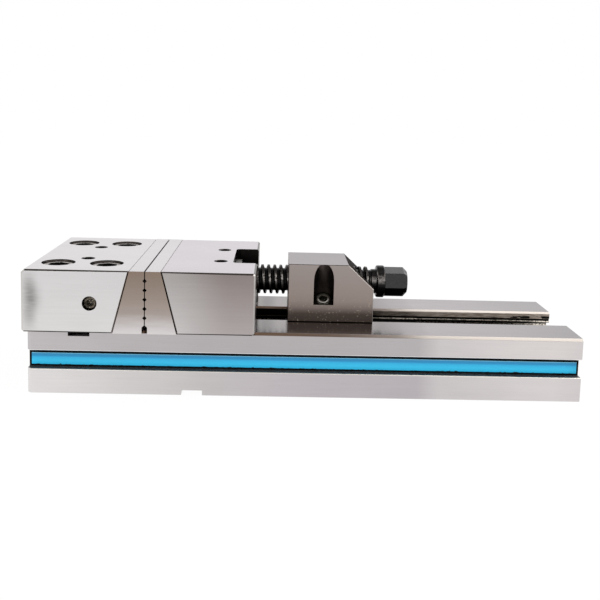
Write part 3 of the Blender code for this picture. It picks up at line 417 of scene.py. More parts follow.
# %% The T-slot's tones
SLOT_SIDE = 21.5 * MM
SLOT_CHAMFER_FOOT = 48.4 * MM
RELIEF_TOP = 44.1 * MM
RELIEF_FOOT = 42.4 * MM
RELIEF_DEPTH = 1.2 * MM
LIP_FOOT = 40.8 * MM
LIP_HEIGHT = 1.1 * MM
T_SLOT_SIDE = 29 * MM
T_SLOT_FLOOR = 24 * MM
T_SLOT_LIT_BAND = (LIP_FOOT - 6 * MM, LIP_FOOT - 2.7 * MM)
SLOT_SHADE_END = (50 * MM, 72 * MM)
ROUGH_START = (85 * MM, 110 * MM)
PATCH_START = (155 * MM, 165 * MM)
PATCH_HEIGHTS = (44.4 * MM, 46.4 * MM)


def slot_tones(finish, colour):
    """The T-slot: a milled wall, painted shade in the relief and the T, a painted highlight on the
    lip, and a painted lit band.
    """
    x, y, z = finish.x, finish.y, finish.z
    above_floor = finish.rise(z, T_SLOT_FLOOR - 2 * TINY, T_SLOT_FLOOR - TINY)
    inside = above_floor * (1 - finish.rise(abs(y), SLOT_SIDE + TINY, SLOT_SIDE + 2 * TINY))
    marks = finish.rise(finish.noise((7, 7, 1.0), 2.0), 0.25, 0.75)
    wall = finish.mix(marks, screen(150, 137, 126), screen(205, 194, 184))
    patch = finish.rise(finish.noise((9, 9, 3), 3.0, 5.0), 0.50, 0.54)
    patch = patch * finish.rise(x, *PATCH_START) * finish.within(z, *PATCH_HEIGHTS, 3 * TINY)
    wall = finish.mix(patch, wall, BLACK_STEEL_AND_SHADE)
    # Painted shade: the wall and the lip darken towards the jaw, where the slot lies in shade.
    slot_shade = 1 - finish.rise(x, *SLOT_SHADE_END)
    wall = finish.mix(slot_shade, wall, screen(38, 32, 28))
    below_edge = 1 - finish.rise(z, SLOT_CHAMFER_FOOT - TINY, SLOT_CHAMFER_FOOT + TINY)
    colour = finish.mix(inside * below_edge, colour, wall)
    relief_side = SLOT_SIDE + RELIEF_DEPTH
    recessed = 1 - finish.rise(abs(y), relief_side, relief_side + TINY)
    # Painted shade: the relief is painted black.
    relief = 1 - finish.rise(z, RELIEF_TOP - TINY, RELIEF_TOP + TINY)
    colour = finish.mix(above_floor * recessed * relief, colour, BLACK_STEEL_AND_SHADE)
    # Painted highlight: light chips that stand for the glints on the T's lip and on its far wall.
    chips = finish.rise(finish.noise((1.1, 1.1, 1.1), 2.0, 2.0), 0.35, 0.55)
    milled = finish.mix(chips, screen(118, 112, 104), screen(238, 229, 216))
    lip = finish.within(z, RELIEF_FOOT - LIP_HEIGHT, RELIEF_FOOT + TINY, TINY) * inside
    colour = finish.mix(lip, colour, finish.mix(slot_shade, milled, screen(58, 52, 46)))
    # Painted shade: the T's inside is painted black.
    deep = 1 - finish.rise(z, LIP_FOOT, LIP_FOOT + TINY)
    within_t = 1 - finish.rise(abs(y), T_SLOT_SIDE + TINY, T_SLOT_SIDE + 2 * TINY)
    colour = finish.mix(deep * within_t * above_floor, colour, BLACK_STEEL_AND_SHADE)
    # Painted light: a lit band low on the T's far wall.
    lit_far_wall = finish.within(abs(y), T_SLOT_SIDE - TINY, T_SLOT_SIDE + TINY, TINY)
    lit_far_wall = lit_far_wall * finish.within(z, *T_SLOT_LIT_BAND, TINY)
    return finish.mix(lit_far_wall, colour, milled)


def slot_roughness(finish):
    """1 on the part of the slot's wall that scatters light."""
    wall = finish.within(abs(finish.y), SLOT_SIDE - TINY, SLOT_SIDE + TINY, TINY)
    wall = wall * finish.within(finish.z, RELIEF_TOP, SLOT_CHAMFER_FOOT, TINY)
    return wall * finish.rise(finish.x, *ROUGH_START)


print("the slot is", 2 * SLOT_SIDE / MM, "mm wide, and the T", 2 * T_SLOT_SIDE / MM)

# %% [markdown]
# ## The side grooves
# Each side groove is painted black, as blackened steel and as the shade inside it, and a narrow
# ledge of it shows under the strip, mottled dark grey. That grey isn't metal, so the ledge's
# Metallic falls to 0. The groove's mouth has two bright edges.

# %% The side grooves, and the whole bed
GROOVE_FOOT = 19.2 * MM
GROOVE_TOP = 33.2 * MM
GROOVE_ROOT = 56.4 * MM
GROOVE_EDGE = 0.6 * MM
HALF_BED = 64 * MM


def groove_tones(finish, colour):
    """The side groove's colour, and how metallic each place is."""
    y, z = finish.y, finish.z
    edges = finish.rise(abs(y), HALF_BED - GROOVE_EDGE, HALF_BED - GROOVE_EDGE + TINY)
    upper_edge = finish.within(z, GROOVE_TOP - TINY, GROOVE_TOP + GROOVE_EDGE + TINY, TINY)
    lower_edge = finish.within(z, GROOVE_FOOT - GROOVE_EDGE - TINY, GROOVE_FOOT + TINY, TINY)
    colour = finish.mix(edges * upper_edge, colour, screen(246, 241, 241))
    colour = finish.mix(edges * lower_edge, colour, screen(236, 232, 224))
    # Painted shade: the groove's inside is painted black.
    groove = finish.within(z, GROOVE_FOOT - TINY, GROOVE_TOP + TINY, TINY) * (1 - edges)
    groove = groove * finish.rise(abs(y), GROOVE_ROOT - MM, GROOVE_ROOT)
    ledge = level(finish) * (1 - finish.rise(z, GROOVE_FOOT + TINY, GROOVE_FOOT + MM))
    ledge_grey = finish.mix(finish.noise((4, 4, 4), 3.0, 11.0), screen(62, 64, 66), screen(92, 94, 97))
    tone = finish.mix(ledge, BLACK_STEEL_AND_SHADE, ledge_grey)
    return finish.mix(groove, colour, tone), 1 - groove * ledge


def bed_steel():
    """Ground steel with a dark T-slot and dark side grooves. Its top is the smoothest face."""
    finish = Finish("bed_steel", Metallic=1.0)
    colour, metallic = groove_tones(finish, slot_tones(finish, bed_outside(finish)))
    finish.wear(Metallic=metallic)
    dull = level(finish) * -0.14 + slot_roughness(finish) * 0.4
    return ground(finish, colour, dull=dull, relief=0.3)


bed_finish = bed_steel()
print("bed finish:", len(bed_finish.node_tree.nodes), "nodes")

# %% [markdown]
# ## The jaws
# Both jaws are ground along the vise. Their chamfers carry a painted dark reflection against the
# bright faces, their upright edges a painted highlight, and the recess for the nut block and the
# walls of all holes are painted black, as blackened steel and as the shade inside them. The fixed
# jaw has a soft shade near its back edge. Both get one finish that takes each jaw's own tones.

# %% What both jaws share
BED_TOP = 50 * MM
JAW_TOP = 97.5 * MM
EYE_HOLE_Y = 25.8 * MM
EYE_HOLE_MOUTH = 11.3 * MM
EYE_HOLE_FLOOR = (JAW_TOP - 24 * MM, JAW_TOP - 23 * MM)
RECESS_SOFT = 0.15 * MM


def jaw_steel(name, side, top, eye_x, recess=None):
    """Bright jaw steel with painted dark reflections on its chamfers, painted highlights on its
    upright edges, and holes painted black as shade.

    side makes the side's tones, top is the top's colour, and eye_x is the eye holes' place along
    the vise. recess holds the lowest and the highest X and Y of the recess, where there is one.
    """
    finish = Finish(name, Metallic=1.0)
    x, y, z = finish.x, finish.y, finish.z
    colour = finish.mix(level(finish), side(finish), top)
    # Painted reflection: the chamfers are dark.
    colour = finish.mix(chamfered(finish, abs(finish.facing_z)), colour, screen(84, 78, 75))
    # Painted highlight: the upright edges are light.
    upright = finish.within(abs(finish.facing_y), 0.45, 0.9, 0.05)
    upright = upright * finish.rise(abs(finish.facing_x), 0.4, 0.6)
    colour = finish.mix(upright, colour, screen(196, 192, 189))
    # Painted shade: the eye holes and the recess are painted black, as blackened steel and as
    # shade.
    hollow = round_area(finish, x - eye_x, abs(y) - EYE_HOLE_Y, EYE_HOLE_MOUTH / 2)
    hollow = hollow * finish.rise(z, *EYE_HOLE_FLOOR)
    if recess:
        low, high = recess
        across = finish.within(y, low[1], high[1], RECESS_SOFT)
        hollow = hollow.larger(finish.within(x, low[0], high[0], RECESS_SOFT) * across)
    return finish, finish.mix(hollow * steep(finish), colour, BLACK_STEEL_AND_SHADE)


print("the jaws stand", (JAW_TOP - BED_TOP) / MM, "mm above the bed")

# %% The fixed jaw's finish
FIXED_EYE_X = -173.2 * MM
BOLT_X = -173.3 * MM
BOLT_STEP = 36.8 * MM
BOLT_Y = 45.3 * MM
COUNTERBORE = 25.4 * MM
COUNTERBORE_FLOOR = (75 * MM, 76 * MM)
COUNTERBORE_WORN = (JAW_TOP - 1.7 * MM, JAW_TOP - 0.6 * MM)
SIDE_SCREW_X = -162.2 * MM
SIDE_SCREW_Z = 72.7 * MM
SIDE_HOLE_MOUTH = 11.2 * MM
SHADE_BROAD = ((2 * MM, 10 * MM), (56 * MM, 92 * MM))
SHADE_CORE = ((6 * MM, 14 * MM), (68 * MM, 84 * MM))
SHADE_SOFT = (4 * MM, 9 * MM)


def shaded(finish, from_back, heights):
    """1 on a patch with soft borders, given its reach from the jaw's back edge and its heights."""
    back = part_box("fixed_jaw")[0].x
    across = finish.within(finish.x, back + from_back[0], back + from_back[1], SHADE_SOFT[0])
    return across * finish.within(finish.z, *heights, SHADE_SOFT[1])


def fixed_jaw_side(finish):
    """The fixed jaw's front is even, but for a soft shade near its back edge."""
    height = along(finish.z, BED_TOP, JAW_TOP)
    side = finish.mix(height, screen(216, 214, 213), screen(213, 211, 211))
    cross = finish.noise((9, 9, 0.9), 3.0)
    shade = shaded(finish, *SHADE_BROAD) * 0.5 + shaded(finish, *SHADE_CORE) * 0.34
    shade = shade * (1 + (cross - 0.5) * 0.9)
    return finish.mix(shade * steep(finish), side, screen(120, 118, 116))


def fixed_jaw_steel():
    """The fixed jaw: its counterbores are painted black as shade below a worn rim, and its side
    hole is brown.
    """
    top = screen(228, 224, 226)
    finish, colour = jaw_steel("fixed_jaw_steel", fixed_jaw_side, top, FIXED_EYE_X)
    x, y, z = finish.x, finish.y, finish.z
    from_bolt = (abs(x - BOLT_X) - BOLT_STEP / 2, abs(y) - BOLT_Y)
    # Painted shade: the counterbores' walls are black.
    bore = round_area(finish, *from_bolt, COUNTERBORE / 2 + TINY)
    bore = bore * steep(finish) * finish.rise(z, *COUNTERBORE_FLOOR)
    wear_and_sheen = finish.within(z, *COUNTERBORE_WORN, 2 * TINY)
    colour = finish.mix(bore, colour, finish.mix(wear_and_sheen, screen(20, 17, 16), screen(118, 111, 107)))
    side_hole = round_area(finish, x - SIDE_SCREW_X, z - SIDE_SCREW_Z, SIDE_HOLE_MOUTH / 2)
    side_hole = side_hole * (1 - finish.rise(abs(finish.facing_y), 0.8, 0.95))
    return ground(finish, finish.mix(side_hole, colour, screen(44, 38, 33)))


jaw_finishes = {"fixed_jaw": fixed_jaw_steel()}
print("fixed jaw finish:", len(jaw_finishes["fixed_jaw"].node_tree.nodes), "nodes")

# %% The movable jaw's finish
MOVABLE_EYE_X = -68.9 * MM
RECESS_DEPTH = 18.9 * MM
RECESS_HALF = 32.2 * MM


def movable_jaw_side(finish):
    """The movable jaw's front darkens upwards and away from the plates."""
    low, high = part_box("movable_jaw")
    height = along(finish.z, BED_TOP, JAW_TOP)
    near = finish.mix(height, screen(199, 196, 195), screen(170, 165, 163))
    far = finish.mix(height, screen(174, 166, 165), screen(139, 129, 126))
    return finish.mix(finish.rise(finish.x, low.x + 2 * MM, high.x - 16 * MM), near, far)


def movable_jaw_steel():
    """The movable jaw, with its recess for the nut block."""
    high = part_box("movable_jaw")[1]
    recess_low = (high.x - RECESS_DEPTH - TINY, -RECESS_HALF - TINY)
    recess_high = (high.x + MM, RECESS_HALF + TINY)
    finish, colour = jaw_steel(
        "movable_jaw_steel",
        movable_jaw_side,
        screen(220, 214, 219),
        MOVABLE_EYE_X,
        (recess_low, recess_high),
    )
    return ground(finish, colour)


jaw_finishes["movable_jaw"] = movable_jaw_steel()
print("movable jaw finish:", len(jaw_finishes["movable_jaw"].node_tree.nodes), "nodes")

# %% [markdown]
# ## The jaw plates
# The plates were ground with oil that left a brown film towards their top. Their edges at the seam
# between them are dark. A ramp over the height makes the film, and some noise in the height keeps
# its border from being a straight line.

# %% The plates' finish
SEAM_EDGE = 0.3 * MM


def plate_steel():
    """Bright steel with a brown film that grows upwards, and dark edges at the seam."""
    finish = Finish("plate_steel", Metallic=1.0)
    wavy = finish.z + (finish.noise((20, 20, 3)) - 0.5) * (6 * MM)
    film = finish.ramp(
        along(wavy, BED_TOP, JAW_TOP),
        (0.0, screen(214, 210, 209)),
        (0.12, screen(200, 195, 194)),
        (0.34, screen(166, 155, 149)),
        (0.55, screen(155, 142, 133)),
        (1.0, screen(138, 121, 109)),
    )
    colour = finish.mix(level(finish), film, screen(226, 222, 225))
    near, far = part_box("fixed_jaw_plate")[1].x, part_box("movable_jaw_plate")[0].x
    seam = finish.within(finish.x, near - SEAM_EDGE, far + SEAM_EDGE, TINY)
    seam = seam * finish.rise(finish.facing_z, 0.3, 0.5)
    seam = seam * (1 - finish.rise(abs(finish.facing_x), 0.8, 0.95))
    return ground(finish, finish.mix(seam, colour, BLACK_STEEL_AND_SHADE), contrast=0.8)


jaw_finishes["fixed_jaw_plate"] = jaw_finishes["movable_jaw_plate"] = plate_steel()
print("jaw finishes:", sorted(jaw_finishes))

# %% [markdown]
# ## The nut block
# The nut block is darker and browner than the jaws. It is painted darker towards its foot, as
# painted shade, and specks of dust lie there. Its slope is painted dark as a reflection, its
# pockets are painted dark as shade, lighter towards their top, its upper front chamfers carry a
# painted dark reflection, and its upright chamfers a painted highlight.

# %% The nut block's finish
POCKET_ENDS = (20.1 * MM, 36.5 * MM)
POCKET_FOOT = (60 * MM, 61 * MM)
POCKET_FADE = (68 * MM, 80 * MM)
POCKET_SKIN = 0.3 * MM


def nut_steel():
    """Brownish ground steel with specks, and painted shade and reflections at its foot, slope,
    pockets and chamfers.
    """
    finish = Finish("nut_steel", Metallic=1.0)
    x, y, z = finish.x, finish.y, finish.z
    low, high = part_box("nut_block")
    height = along(z, low.z, high.z)
    # Painted shade: the front darkens towards the foot.
    side = finish.ramp(
        height,
        (0.0, screen(84, 74, 67)),
        (0.07, screen(87, 78, 72)),
        (0.14, screen(88, 78, 71)),
        (0.25, screen(132, 120, 114)),
        (0.36, screen(146, 134, 127)),
        (1.0, screen(153, 143, 139)),
    )
    specks = finish.rise(finish.noise((0.9, 0.9, 0.9), 1.0, 9.0), 0.70, 0.75)
    specks = specks * (1 - finish.rise(height, 0.15, 0.6))
    side = finish.mix(specks, side, screen(206, 196, 182))
    colour = finish.mix(level(finish), side, screen(169, 163, 166))
    # Painted reflection: the slope is mottled near black.
    slope = finish.within(finish.facing_x, 0.5, 0.9, 0.05)
    slope = slope * finish.within(finish.facing_z, 0.5, 0.9, 0.05)
    slope_reflection = finish.mix(finish.noise((3, 3, 3), 3.0, 6.0), screen(26, 23, 22), screen(66, 60, 57))
    colour = finish.mix(slope, colour, slope_reflection)
    # Painted reflection: the upper front chamfers are dark.
    rim = finish.within(abs(finish.facing_y), 0.4, 0.9, 0.05)
    colour = finish.mix(rim * finish.rise(finish.facing_z, 0.3, 0.5), colour, screen(76, 71, 68))
    # Painted highlight: the upright chamfers are light.
    rim_highlight = rim * finish.rise(abs(finish.facing_x), 0.2, 0.4)
    colour = finish.mix(rim_highlight, colour, screen(196, 188, 183))
    pocket = 1 - finish.rise(abs(y), high.y - POCKET_SKIN, high.y - TINY)
    pocket = pocket * finish.within(x, low.x + POCKET_ENDS[0], low.x + POCKET_ENDS[1], TINY)
    pocket = pocket * finish.rise(z, *POCKET_FOOT) * (1 - finish.rise(finish.facing_z, 0.97, 0.99))
    # Painted shade: the pockets are near black at the foot and lighter towards the top.
    pocket_shade = finish.mix(finish.rise(z, *POCKET_FADE), screen(26, 23, 21), screen(108, 102, 98))
    colour = finish.mix(pocket, colour, pocket_shade)
    return ground(finish, colour, 0.34, dull=slope * 0.6)


nut_finish = nut_steel()
print("nut finish:", len(nut_finish.node_tree.nodes), "nodes")

# %% [markdown]
# ## The spindle
# The spindle is black oxide over turned steel. The thread's crests are grey, from wear and as
# painted light, with painted glints on them and on the neck and collar. The hexagon's flats are
# painted by their facing, the top flat light and the lowest black, as painted light, with blots of
# wear. The distance from its axis finds the crests, and the direction of each flat gives the
# hexagon's tones.

# %% The spindle's finish
SPINDLE_AXIS = 78.7 * MM
CREST_RADIUS = 11.6 * MM
HEXAGON_LENGTH = 18.6 * MM
PLAIN_LENGTH = 31 * MM


def spindle_oxide():
    """The spindle: black, with painted glints on the thread's crests, and painted light and shade
    on the hexagon's flats.
    """
    finish = Finish("spindle_oxide", Metallic=1.0)
    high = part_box("spindle")[1]
    grit = finish.noise((0.5, 0.5, 0.5), 2.0, 4.0)
    bits = finish.noise((1.6, 1.6, 1.6), 2.0, 1.0)
    # The crests are grey from wear and as painted light.
    crest = 1 - round_area(finish, finish.y, finish.z - SPINDLE_AXIS, CREST_RADIUS)
    # Painted highlight: glints on the crests that face partly up.
    glint = crest * finish.within(finish.facing_z, 0.05, 0.55, 0.15) * finish.rise(bits, 0.4, 0.65)
    colour = finish.mix(crest, screen(22, 21, 21), screen(64, 62, 61))
    colour = finish.mix(glint, colour, screen(168, 163, 158))
    # Painted light: the top flat light, the lowest black, and painted highlights where flats meet.
    facet_light = finish.ramp(
        along(finish.facing_z, -1, 1),
        (0.30, screen(8, 8, 8)),
        (0.36, screen(96, 95, 95)),
        (0.42, screen(60, 60, 61)),
        (0.70, screen(66, 66, 67)),
        (0.80, screen(170, 168, 167)),
        (0.90, screen(108, 107, 108)),
    )
    facet_light = finish.brighten(facet_light, 0.75 + bits * 0.5)
    # Painted highlight on the neck and the collar, where they face partly up.
    highlight_spots = finish.within(finish.facing_z, 0.1, 0.5, 0.15) * finish.rise(bits, 0.2, 0.6)
    painted_sheen = finish.mix(highlight_spots, screen(30, 29, 29), screen(138, 134, 131))
    plain = finish.rise(finish.x, high.x - PLAIN_LENGTH, high.x - PLAIN_LENGTH + MM)
    colour = finish.mix(plain, colour, painted_sheen)
    hexagon_start = high.x - HEXAGON_LENGTH
    hexagon = finish.rise(finish.x, hexagon_start, hexagon_start + 2 * TINY)
    colour = finish.mix(hexagon, colour, facet_light)
    end = finish.rise(finish.facing_x, 0.9, 0.98)
    end = end * finish.rise(finish.x, high.x - 2 * MM, high.x - MM)
    colour = finish.mix(end, colour, screen(40, 40, 40))
    return finish.wear(
        Base_Color=colour,
        Roughness=0.24 + (grit - 0.5) * 0.2,
        Normal=finish.bump(grit, 0.2, 0.03),
    )


spindle_finish = spindle_oxide()
print("spindle finish:", len(spindle_finish.node_tree.nodes), "nodes")

# %% [markdown]
# ## Screws, guides and keeper
# Screws, keys and guides are black oxide too: nearly black, faintly glossy, and worn to grey where
# keys touch them. The jaw bolts' flats carry a painted reflection of the bright backdrop, and the
# clamping screws a painted highlight: a light ring round the socket, brightest on its lower half.
# That ring is a difference of two round areas, tilted as the screws are.

# %% The screws' finishes
CLAMP_X = 13.4 * MM
CLAMP_Y = 21.77 * MM
CLAMP_Z = 68.02 * MM
CLAMP_TILT = math.radians(35)
CLAMP_RING = (4.6 * MM, 3.4 * MM)
BOLT_FLAT = (JAW_TOP - 3 * MM, JAW_TOP - 2 * MM)


def black_oxide():
    """Oxide that is worn lighter in blots."""
    finish = Finish("oiled_oxide", Metallic=0.35)
    blots = finish.rise(finish.noise((2.5, 2.5, 2.5), 4.0), 0.4, 0.75)
    grit = finish.noise((0.5, 0.5, 0.5), 2.0, 4.0)
    return finish.wear(
        Base_Color=finish.mix(blots, screen(24, 23, 23), screen(46, 45, 43)),
        Roughness=0.34 + (grit - 0.5) * 0.2,
        Normal=finish.bump(grit, 0.2, 0.03),
    )


def bolt_steel():
    """Cap screws: black, with a painted reflection on the flat of the head."""
    finish = Finish("bolt_steel", Metallic=0.9)
    blots = finish.noise((2.0, 2.0, 2.0), 3.0)
    # Painted reflection: the flat of the head is light, in blots.
    painted_sheen = level(finish) * finish.rise(finish.z, *BOLT_FLAT)
    wear_and_sheen = finish.mix(finish.rise(blots, 0.35, 0.65), screen(128, 122, 119), screen(224, 219, 217))
    colour = finish.mix(painted_sheen, screen(26, 24, 23), wear_and_sheen)
    return finish.wear(Base_Color=colour, Roughness=0.3 + blots * 0.15)


def clamp_screw_steel():
    """The tilted clamping screws: olive black, with a painted highlight on a ring round the socket.
    """
    finish = Finish("clamp_screw_steel", Metallic=0.9)
    blots = finish.noise((1.5, 1.5, 1.5), 3.0)
    aside = finish.x - CLAMP_X
    outward = (CLAMP_Y - abs(finish.y)) * math.cos(CLAMP_TILT)
    up = outward + (finish.z - CLAMP_Z) * math.sin(CLAMP_TILT)
    outer, inner = CLAMP_RING
    # Painted highlight: a light ring round the socket, brightest on its lower half.
    ring = round_area(finish, aside, up, outer) - round_area(finish, aside, up, inner)
    lower_half = finish.rise(up, -1.5 * MM, 0.5 * MM)
    bright = finish.mix(lower_half, screen(236, 232, 226), screen(120, 118, 112))
    colour = finish.mix(finish.rise(blots, 0.4, 0.7), screen(46, 44, 38), screen(92, 90, 82))
    colour = finish.mix(ring, colour, bright)
    return finish.wear(Base_Color=colour, Roughness=0.3 + blots * 0.15)


def grub_steel():
    """The side screws: mottled grey and olive, with bright bits."""
    finish = Finish("grub_steel", Metallic=0.9)
    blots = finish.noise((2.2, 2.2, 2.2), 4.0, 8.0)
    bits = finish.rise(finish.noise((1.2, 1.2, 1.2), 2.0, 5.0), 0.62, 0.68)
    colour = finish.mix(finish.rise(blots, 0.35, 0.65), screen(44, 39, 33), screen(108, 100, 88))
    colour = finish.mix(bits, colour, screen(216, 210, 200))
    return finish.wear(Base_Color=colour, Roughness=0.34 + blots * 0.15)


def hard_steel():
    """Keeper and thrust pad: hardened steel, plain ground."""
    finish = Finish("hardened_steel", Metallic=1.0)
    clouds = finish.noise((6, 6, 6), 2.0)
    return ground(finish, finish.mix(clouds, screen(136, 132, 128), screen(164, 162, 160)), 0.32)


oxide = black_oxide()
bolts = bolt_steel()
clamp_screws = clamp_screw_steel()
grubs = grub_steel()
hard = hard_steel()
print("finishes:", [finish.name for finish in (oxide, bolts, clamp_screws, grubs, hard)])

# %% [markdown]
# ## The blue strips
# The strips are blue plastic with a metallic lustre, left bare. The groove shades their upper
# third, a light line runs along the top, painted shade darkens the end towards the spindle, and a
# ragged dark band runs along the foot. The band's border is a height with noise in it.

# %% The strips' finish
STRIP_END_SHADE = (200 * MM, 212 * MM)


def blue_plastic():
    """Blue with a metallic lustre, a darker upper third and a light line along the top."""
    finish = Finish("blue_plastic", Metallic=0.35)
    cloud = finish.noise((70, 20, 6), 2.0)
    low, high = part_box("front_strip")
    colour = finish.ramp(
        along(finish.z, low.z, high.z),
        (0.0, screen(44, 206, 255)),
        (0.35, screen(56, 208, 255)),
        (0.6, screen(52, 192, 244)),
        (0.75, screen(42, 153, 209)),
        (0.92, screen(48, 151, 203)),
        (0.97, screen(128, 204, 236)),
    )
    # Painted shade: the strip darkens at the end towards the spindle.
    light = 0.96 + cloud * 0.08 - finish.rise(finish.x, *STRIP_END_SHADE) * 0.2
    # A ragged dark band along the foot.
    ragged = finish.z - (finish.noise((3, 3, 1.5), 3.0, 2.0) - 0.5) * (3 * MM)
    dark_foot_band = 1 - finish.rise(ragged, low.z - TINY, low.z + TINY)
    return finish.wear(
        Base_Color=finish.mix(dark_foot_band, finish.brighten(colour, light), screen(36, 48, 56)),
        Roughness=0.30 + cloud * 0.12,
    )


blue = blue_plastic()
print("strip finish:", len(blue.node_tree.nodes), "nodes")

# %% [markdown]
# ## Soft edges
# No edge of real steel is quite sharp: a file or a stone has taken it off, and that narrow rounding
# catches the light. The frame's solids have sharp edges, and they must stay as they are. So each
# node that shows gets a stand-in: a copy of its mesh, merged into one skin, cleared of the lines
# between its flat triangles, and rounded by a Bevel modifier. Faces that meet at a low angle are
# shaded smooth, which also makes screws and spindle look round. A Weighted Normal modifier keeps
# the large flats flat. Only the two jaw plates aren't copies: the next section cuts them anew.

# %% Round off the edges of a piece
SOFT_EDGES = {
    "bed": 0.25,
    "fixed_jaw": 0.4,
    "movable_jaw": 0.4,
    "fixed_jaw_plate": 0.12,
    "movable_jaw_plate": 0.12,
    "nut_block": 0.15,
    "nut_guide": 0.25,
    "jaw_guide": 0.25,
    "front_strip": 0.15,
    "rear_strip": 0.15,
    "spindle": 0.25,
    "keeper": 0.3,
    "nut_clamp_screw_front": 0.25,
    "nut_clamp_screw_rear": 0.25,
    "side_screw_front": 0.25,
    "side_screw_rear": 0.25,
    "keeper_screw_front": 0.2,
    "keeper_screw_rear": 0.2,
    "fixed_jaw_bolt_1": 0.4,
    "fixed_jaw_bolt_2": 0.4,
    "fixed_jaw_bolt_3": 0.4,
    "fixed_jaw_bolt_4": 0.4,
}
MERGE_DISTANCE = 0.001 * MM
FLAT_ANGLE = math.radians(0.5)
BEVEL_SEGMENTS = 3
BEVEL_ANGLE = math.radians(25)
SMOOTH_ANGLE = math.radians(32)


def only(item):
    """Make one object the only one that operators act on."""
    bpy.ops.object.select_all(action="DESELECT")
    item.select_set(True)
    bpy.context.view_layer.objects.active = item


def apply_modifier(item, kind, **settings):
    """Add a modifier, set it and apply it."""
    modifier = item.modifiers.new(kind.lower(), kind)
    for key, value in settings.items():
        setattr(modifier, key, value)
    only(item)
    bpy.ops.object.modifier_apply(modifier=modifier.name)


def copy_of(name):
    """A copy of a node's mesh, as a piece of its own."""
    piece = bpy.data.objects.new(name + "_soft", nodes[name].data.copy())
    bpy.context.scene.collection.objects.link(piece)
    return piece


def soften(piece, width):
    """Clear a piece of the lines across its flats, and round its edges by a width in mm."""
    only(piece)
    bpy.ops.object.mode_set(mode="EDIT")
    bpy.ops.mesh.select_all(action="SELECT")
    bpy.ops.mesh.remove_doubles(threshold=MERGE_DISTANCE)
    bpy.ops.mesh.dissolve_limited(angle_limit=FLAT_ANGLE)
    bpy.ops.object.mode_set(mode="OBJECT")
    apply_modifier(
        piece,
        "BEVEL",
        width=width * MM,
        segments=BEVEL_SEGMENTS,
        limit_method="ANGLE",
        angle_limit=BEVEL_ANGLE,
        use_clamp_overlap=True,
    )
    only(piece)
    bpy.ops.object.shade_smooth_by_angle(angle=SMOOTH_ANGLE)
    apply_modifier(piece, "WEIGHTED_NORMAL", keep_sharp=True)


print(len(SOFT_EDGES), "nodes get rounded edges")

# %% [markdown]
# ## The wedge plates
# The gripping faces carry V-grooves and a relief at the foot. Between the closed jaws they show as
# a row of black diamonds, a little closer together than in the frame. So these two plates are made
# as in the workshop: a block gets its slanted back, and a Boolean modifier mills each V-groove, the
# relief and the screws' stepped holes out of it. Block and cutters get no UV map, because every
# pattern here is computed from a point's place.

# %% Milling
PLATE_TOP_THICKNESS = 11.2 * MM
V_GROOVE_TOP = 90.45 * MM
V_GROOVE_STEP = 7.0 * MM
V_GROOVES = 5
V_GROOVE_HALVES = (1.3 * MM, 1.4 * MM)
FOOT_RELIEF_HEIGHT = 5 * MM
FOOT_RELIEF_HALVES = (1.7 * MM, 1.6 * MM)
PLATE_SCREW_Y = 25 * MM
PLATE_SCREW_Z = 67 * MM
PLATE_SCREW_HOLES = ((4.3 * MM, 60 * MM), (6.8 * MM, 9.3 * MM))
CUTTER_LENGTH = 160 * MM
ROUND_SIDES = 48


def mill(piece):
    """Take the newest object's shape out of a piece."""
    cutter = bpy.context.object
    apply_modifier(piece, "BOOLEAN", object=cutter, operation="DIFFERENCE", solver="EXACT")
    bpy.data.objects.remove(cutter)


def mill_diamond(piece, x, z, halves):
    """Mill a groove along the vise's width. Its profile is a diamond, given by half its sizes."""
    bpy.ops.mesh.primitive_cylinder_add(
        vertices=4,
        radius=1,
        depth=CUTTER_LENGTH,
        location=(x, 0, z),
        rotation=(math.pi / 2, 0, 0),
        scale=(*halves, 1),
        calc_uvs=False,
    )
    mill(piece)


def mill_box(piece, x, z, sizes):
    """Mill a square groove along the vise's width."""
    width, height = sizes
    bpy.ops.mesh.primitive_cube_add(
        size=1,
        location=(x, 0, z),
        scale=(width, CUTTER_LENGTH, height),
        calc_uvs=False,
    )
    mill(piece)


def mill_hole(piece, x, y, radius, depth):
    """Bore a hole into a plate's gripping face."""
    bpy.ops.mesh.primitive_cylinder_add(
        vertices=ROUND_SIDES,
        radius=radius,
        depth=2 * depth,
        location=(x, y, PLATE_SCREW_Z),
        rotation=(0, math.pi / 2, 0),
        calc_uvs=False,
    )
    mill(piece)


lowest = V_GROOVE_TOP - (V_GROOVES - 1) * V_GROOVE_STEP
print(V_GROOVES, "V-grooves, from", V_GROOVE_TOP / MM, "down to", round(lowest / MM, 2), "mm")

# %% Cut the wedge plates


def wedge(name, face, foot):
    """A block as large as a plate's box, with the slanted back that narrows it towards the top."""
    low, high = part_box(name)
    bpy.ops.object.select_all(action="DESELECT")
    bpy.ops.mesh.primitive_cube_add(
        size=1,
        location=(low + high) / 2,
        scale=high - low,
        calc_uvs=False,
    )
    piece = bpy.context.object
    piece.name = name + "_soft"
    bpy.ops.object.transform_apply(location=True, rotation=True, scale=True)
    bpy.ops.object.mode_set(mode="EDIT")
    bpy.ops.mesh.select_all(action="DESELECT")
    bpy.ops.object.mode_set(mode="OBJECT")
    for vertex in piece.data.vertices:
        vertex.select = vertex.co.z > high.z - TINY and abs(vertex.co.x - foot) < TINY
    bpy.ops.object.mode_set(mode="EDIT")
    top_back = face + math.copysign(PLATE_TOP_THICKNESS, foot - face)
    bpy.ops.transform.translate(value=(top_back - foot, 0, 0))
    bpy.ops.object.mode_set(mode="OBJECT")
    return piece


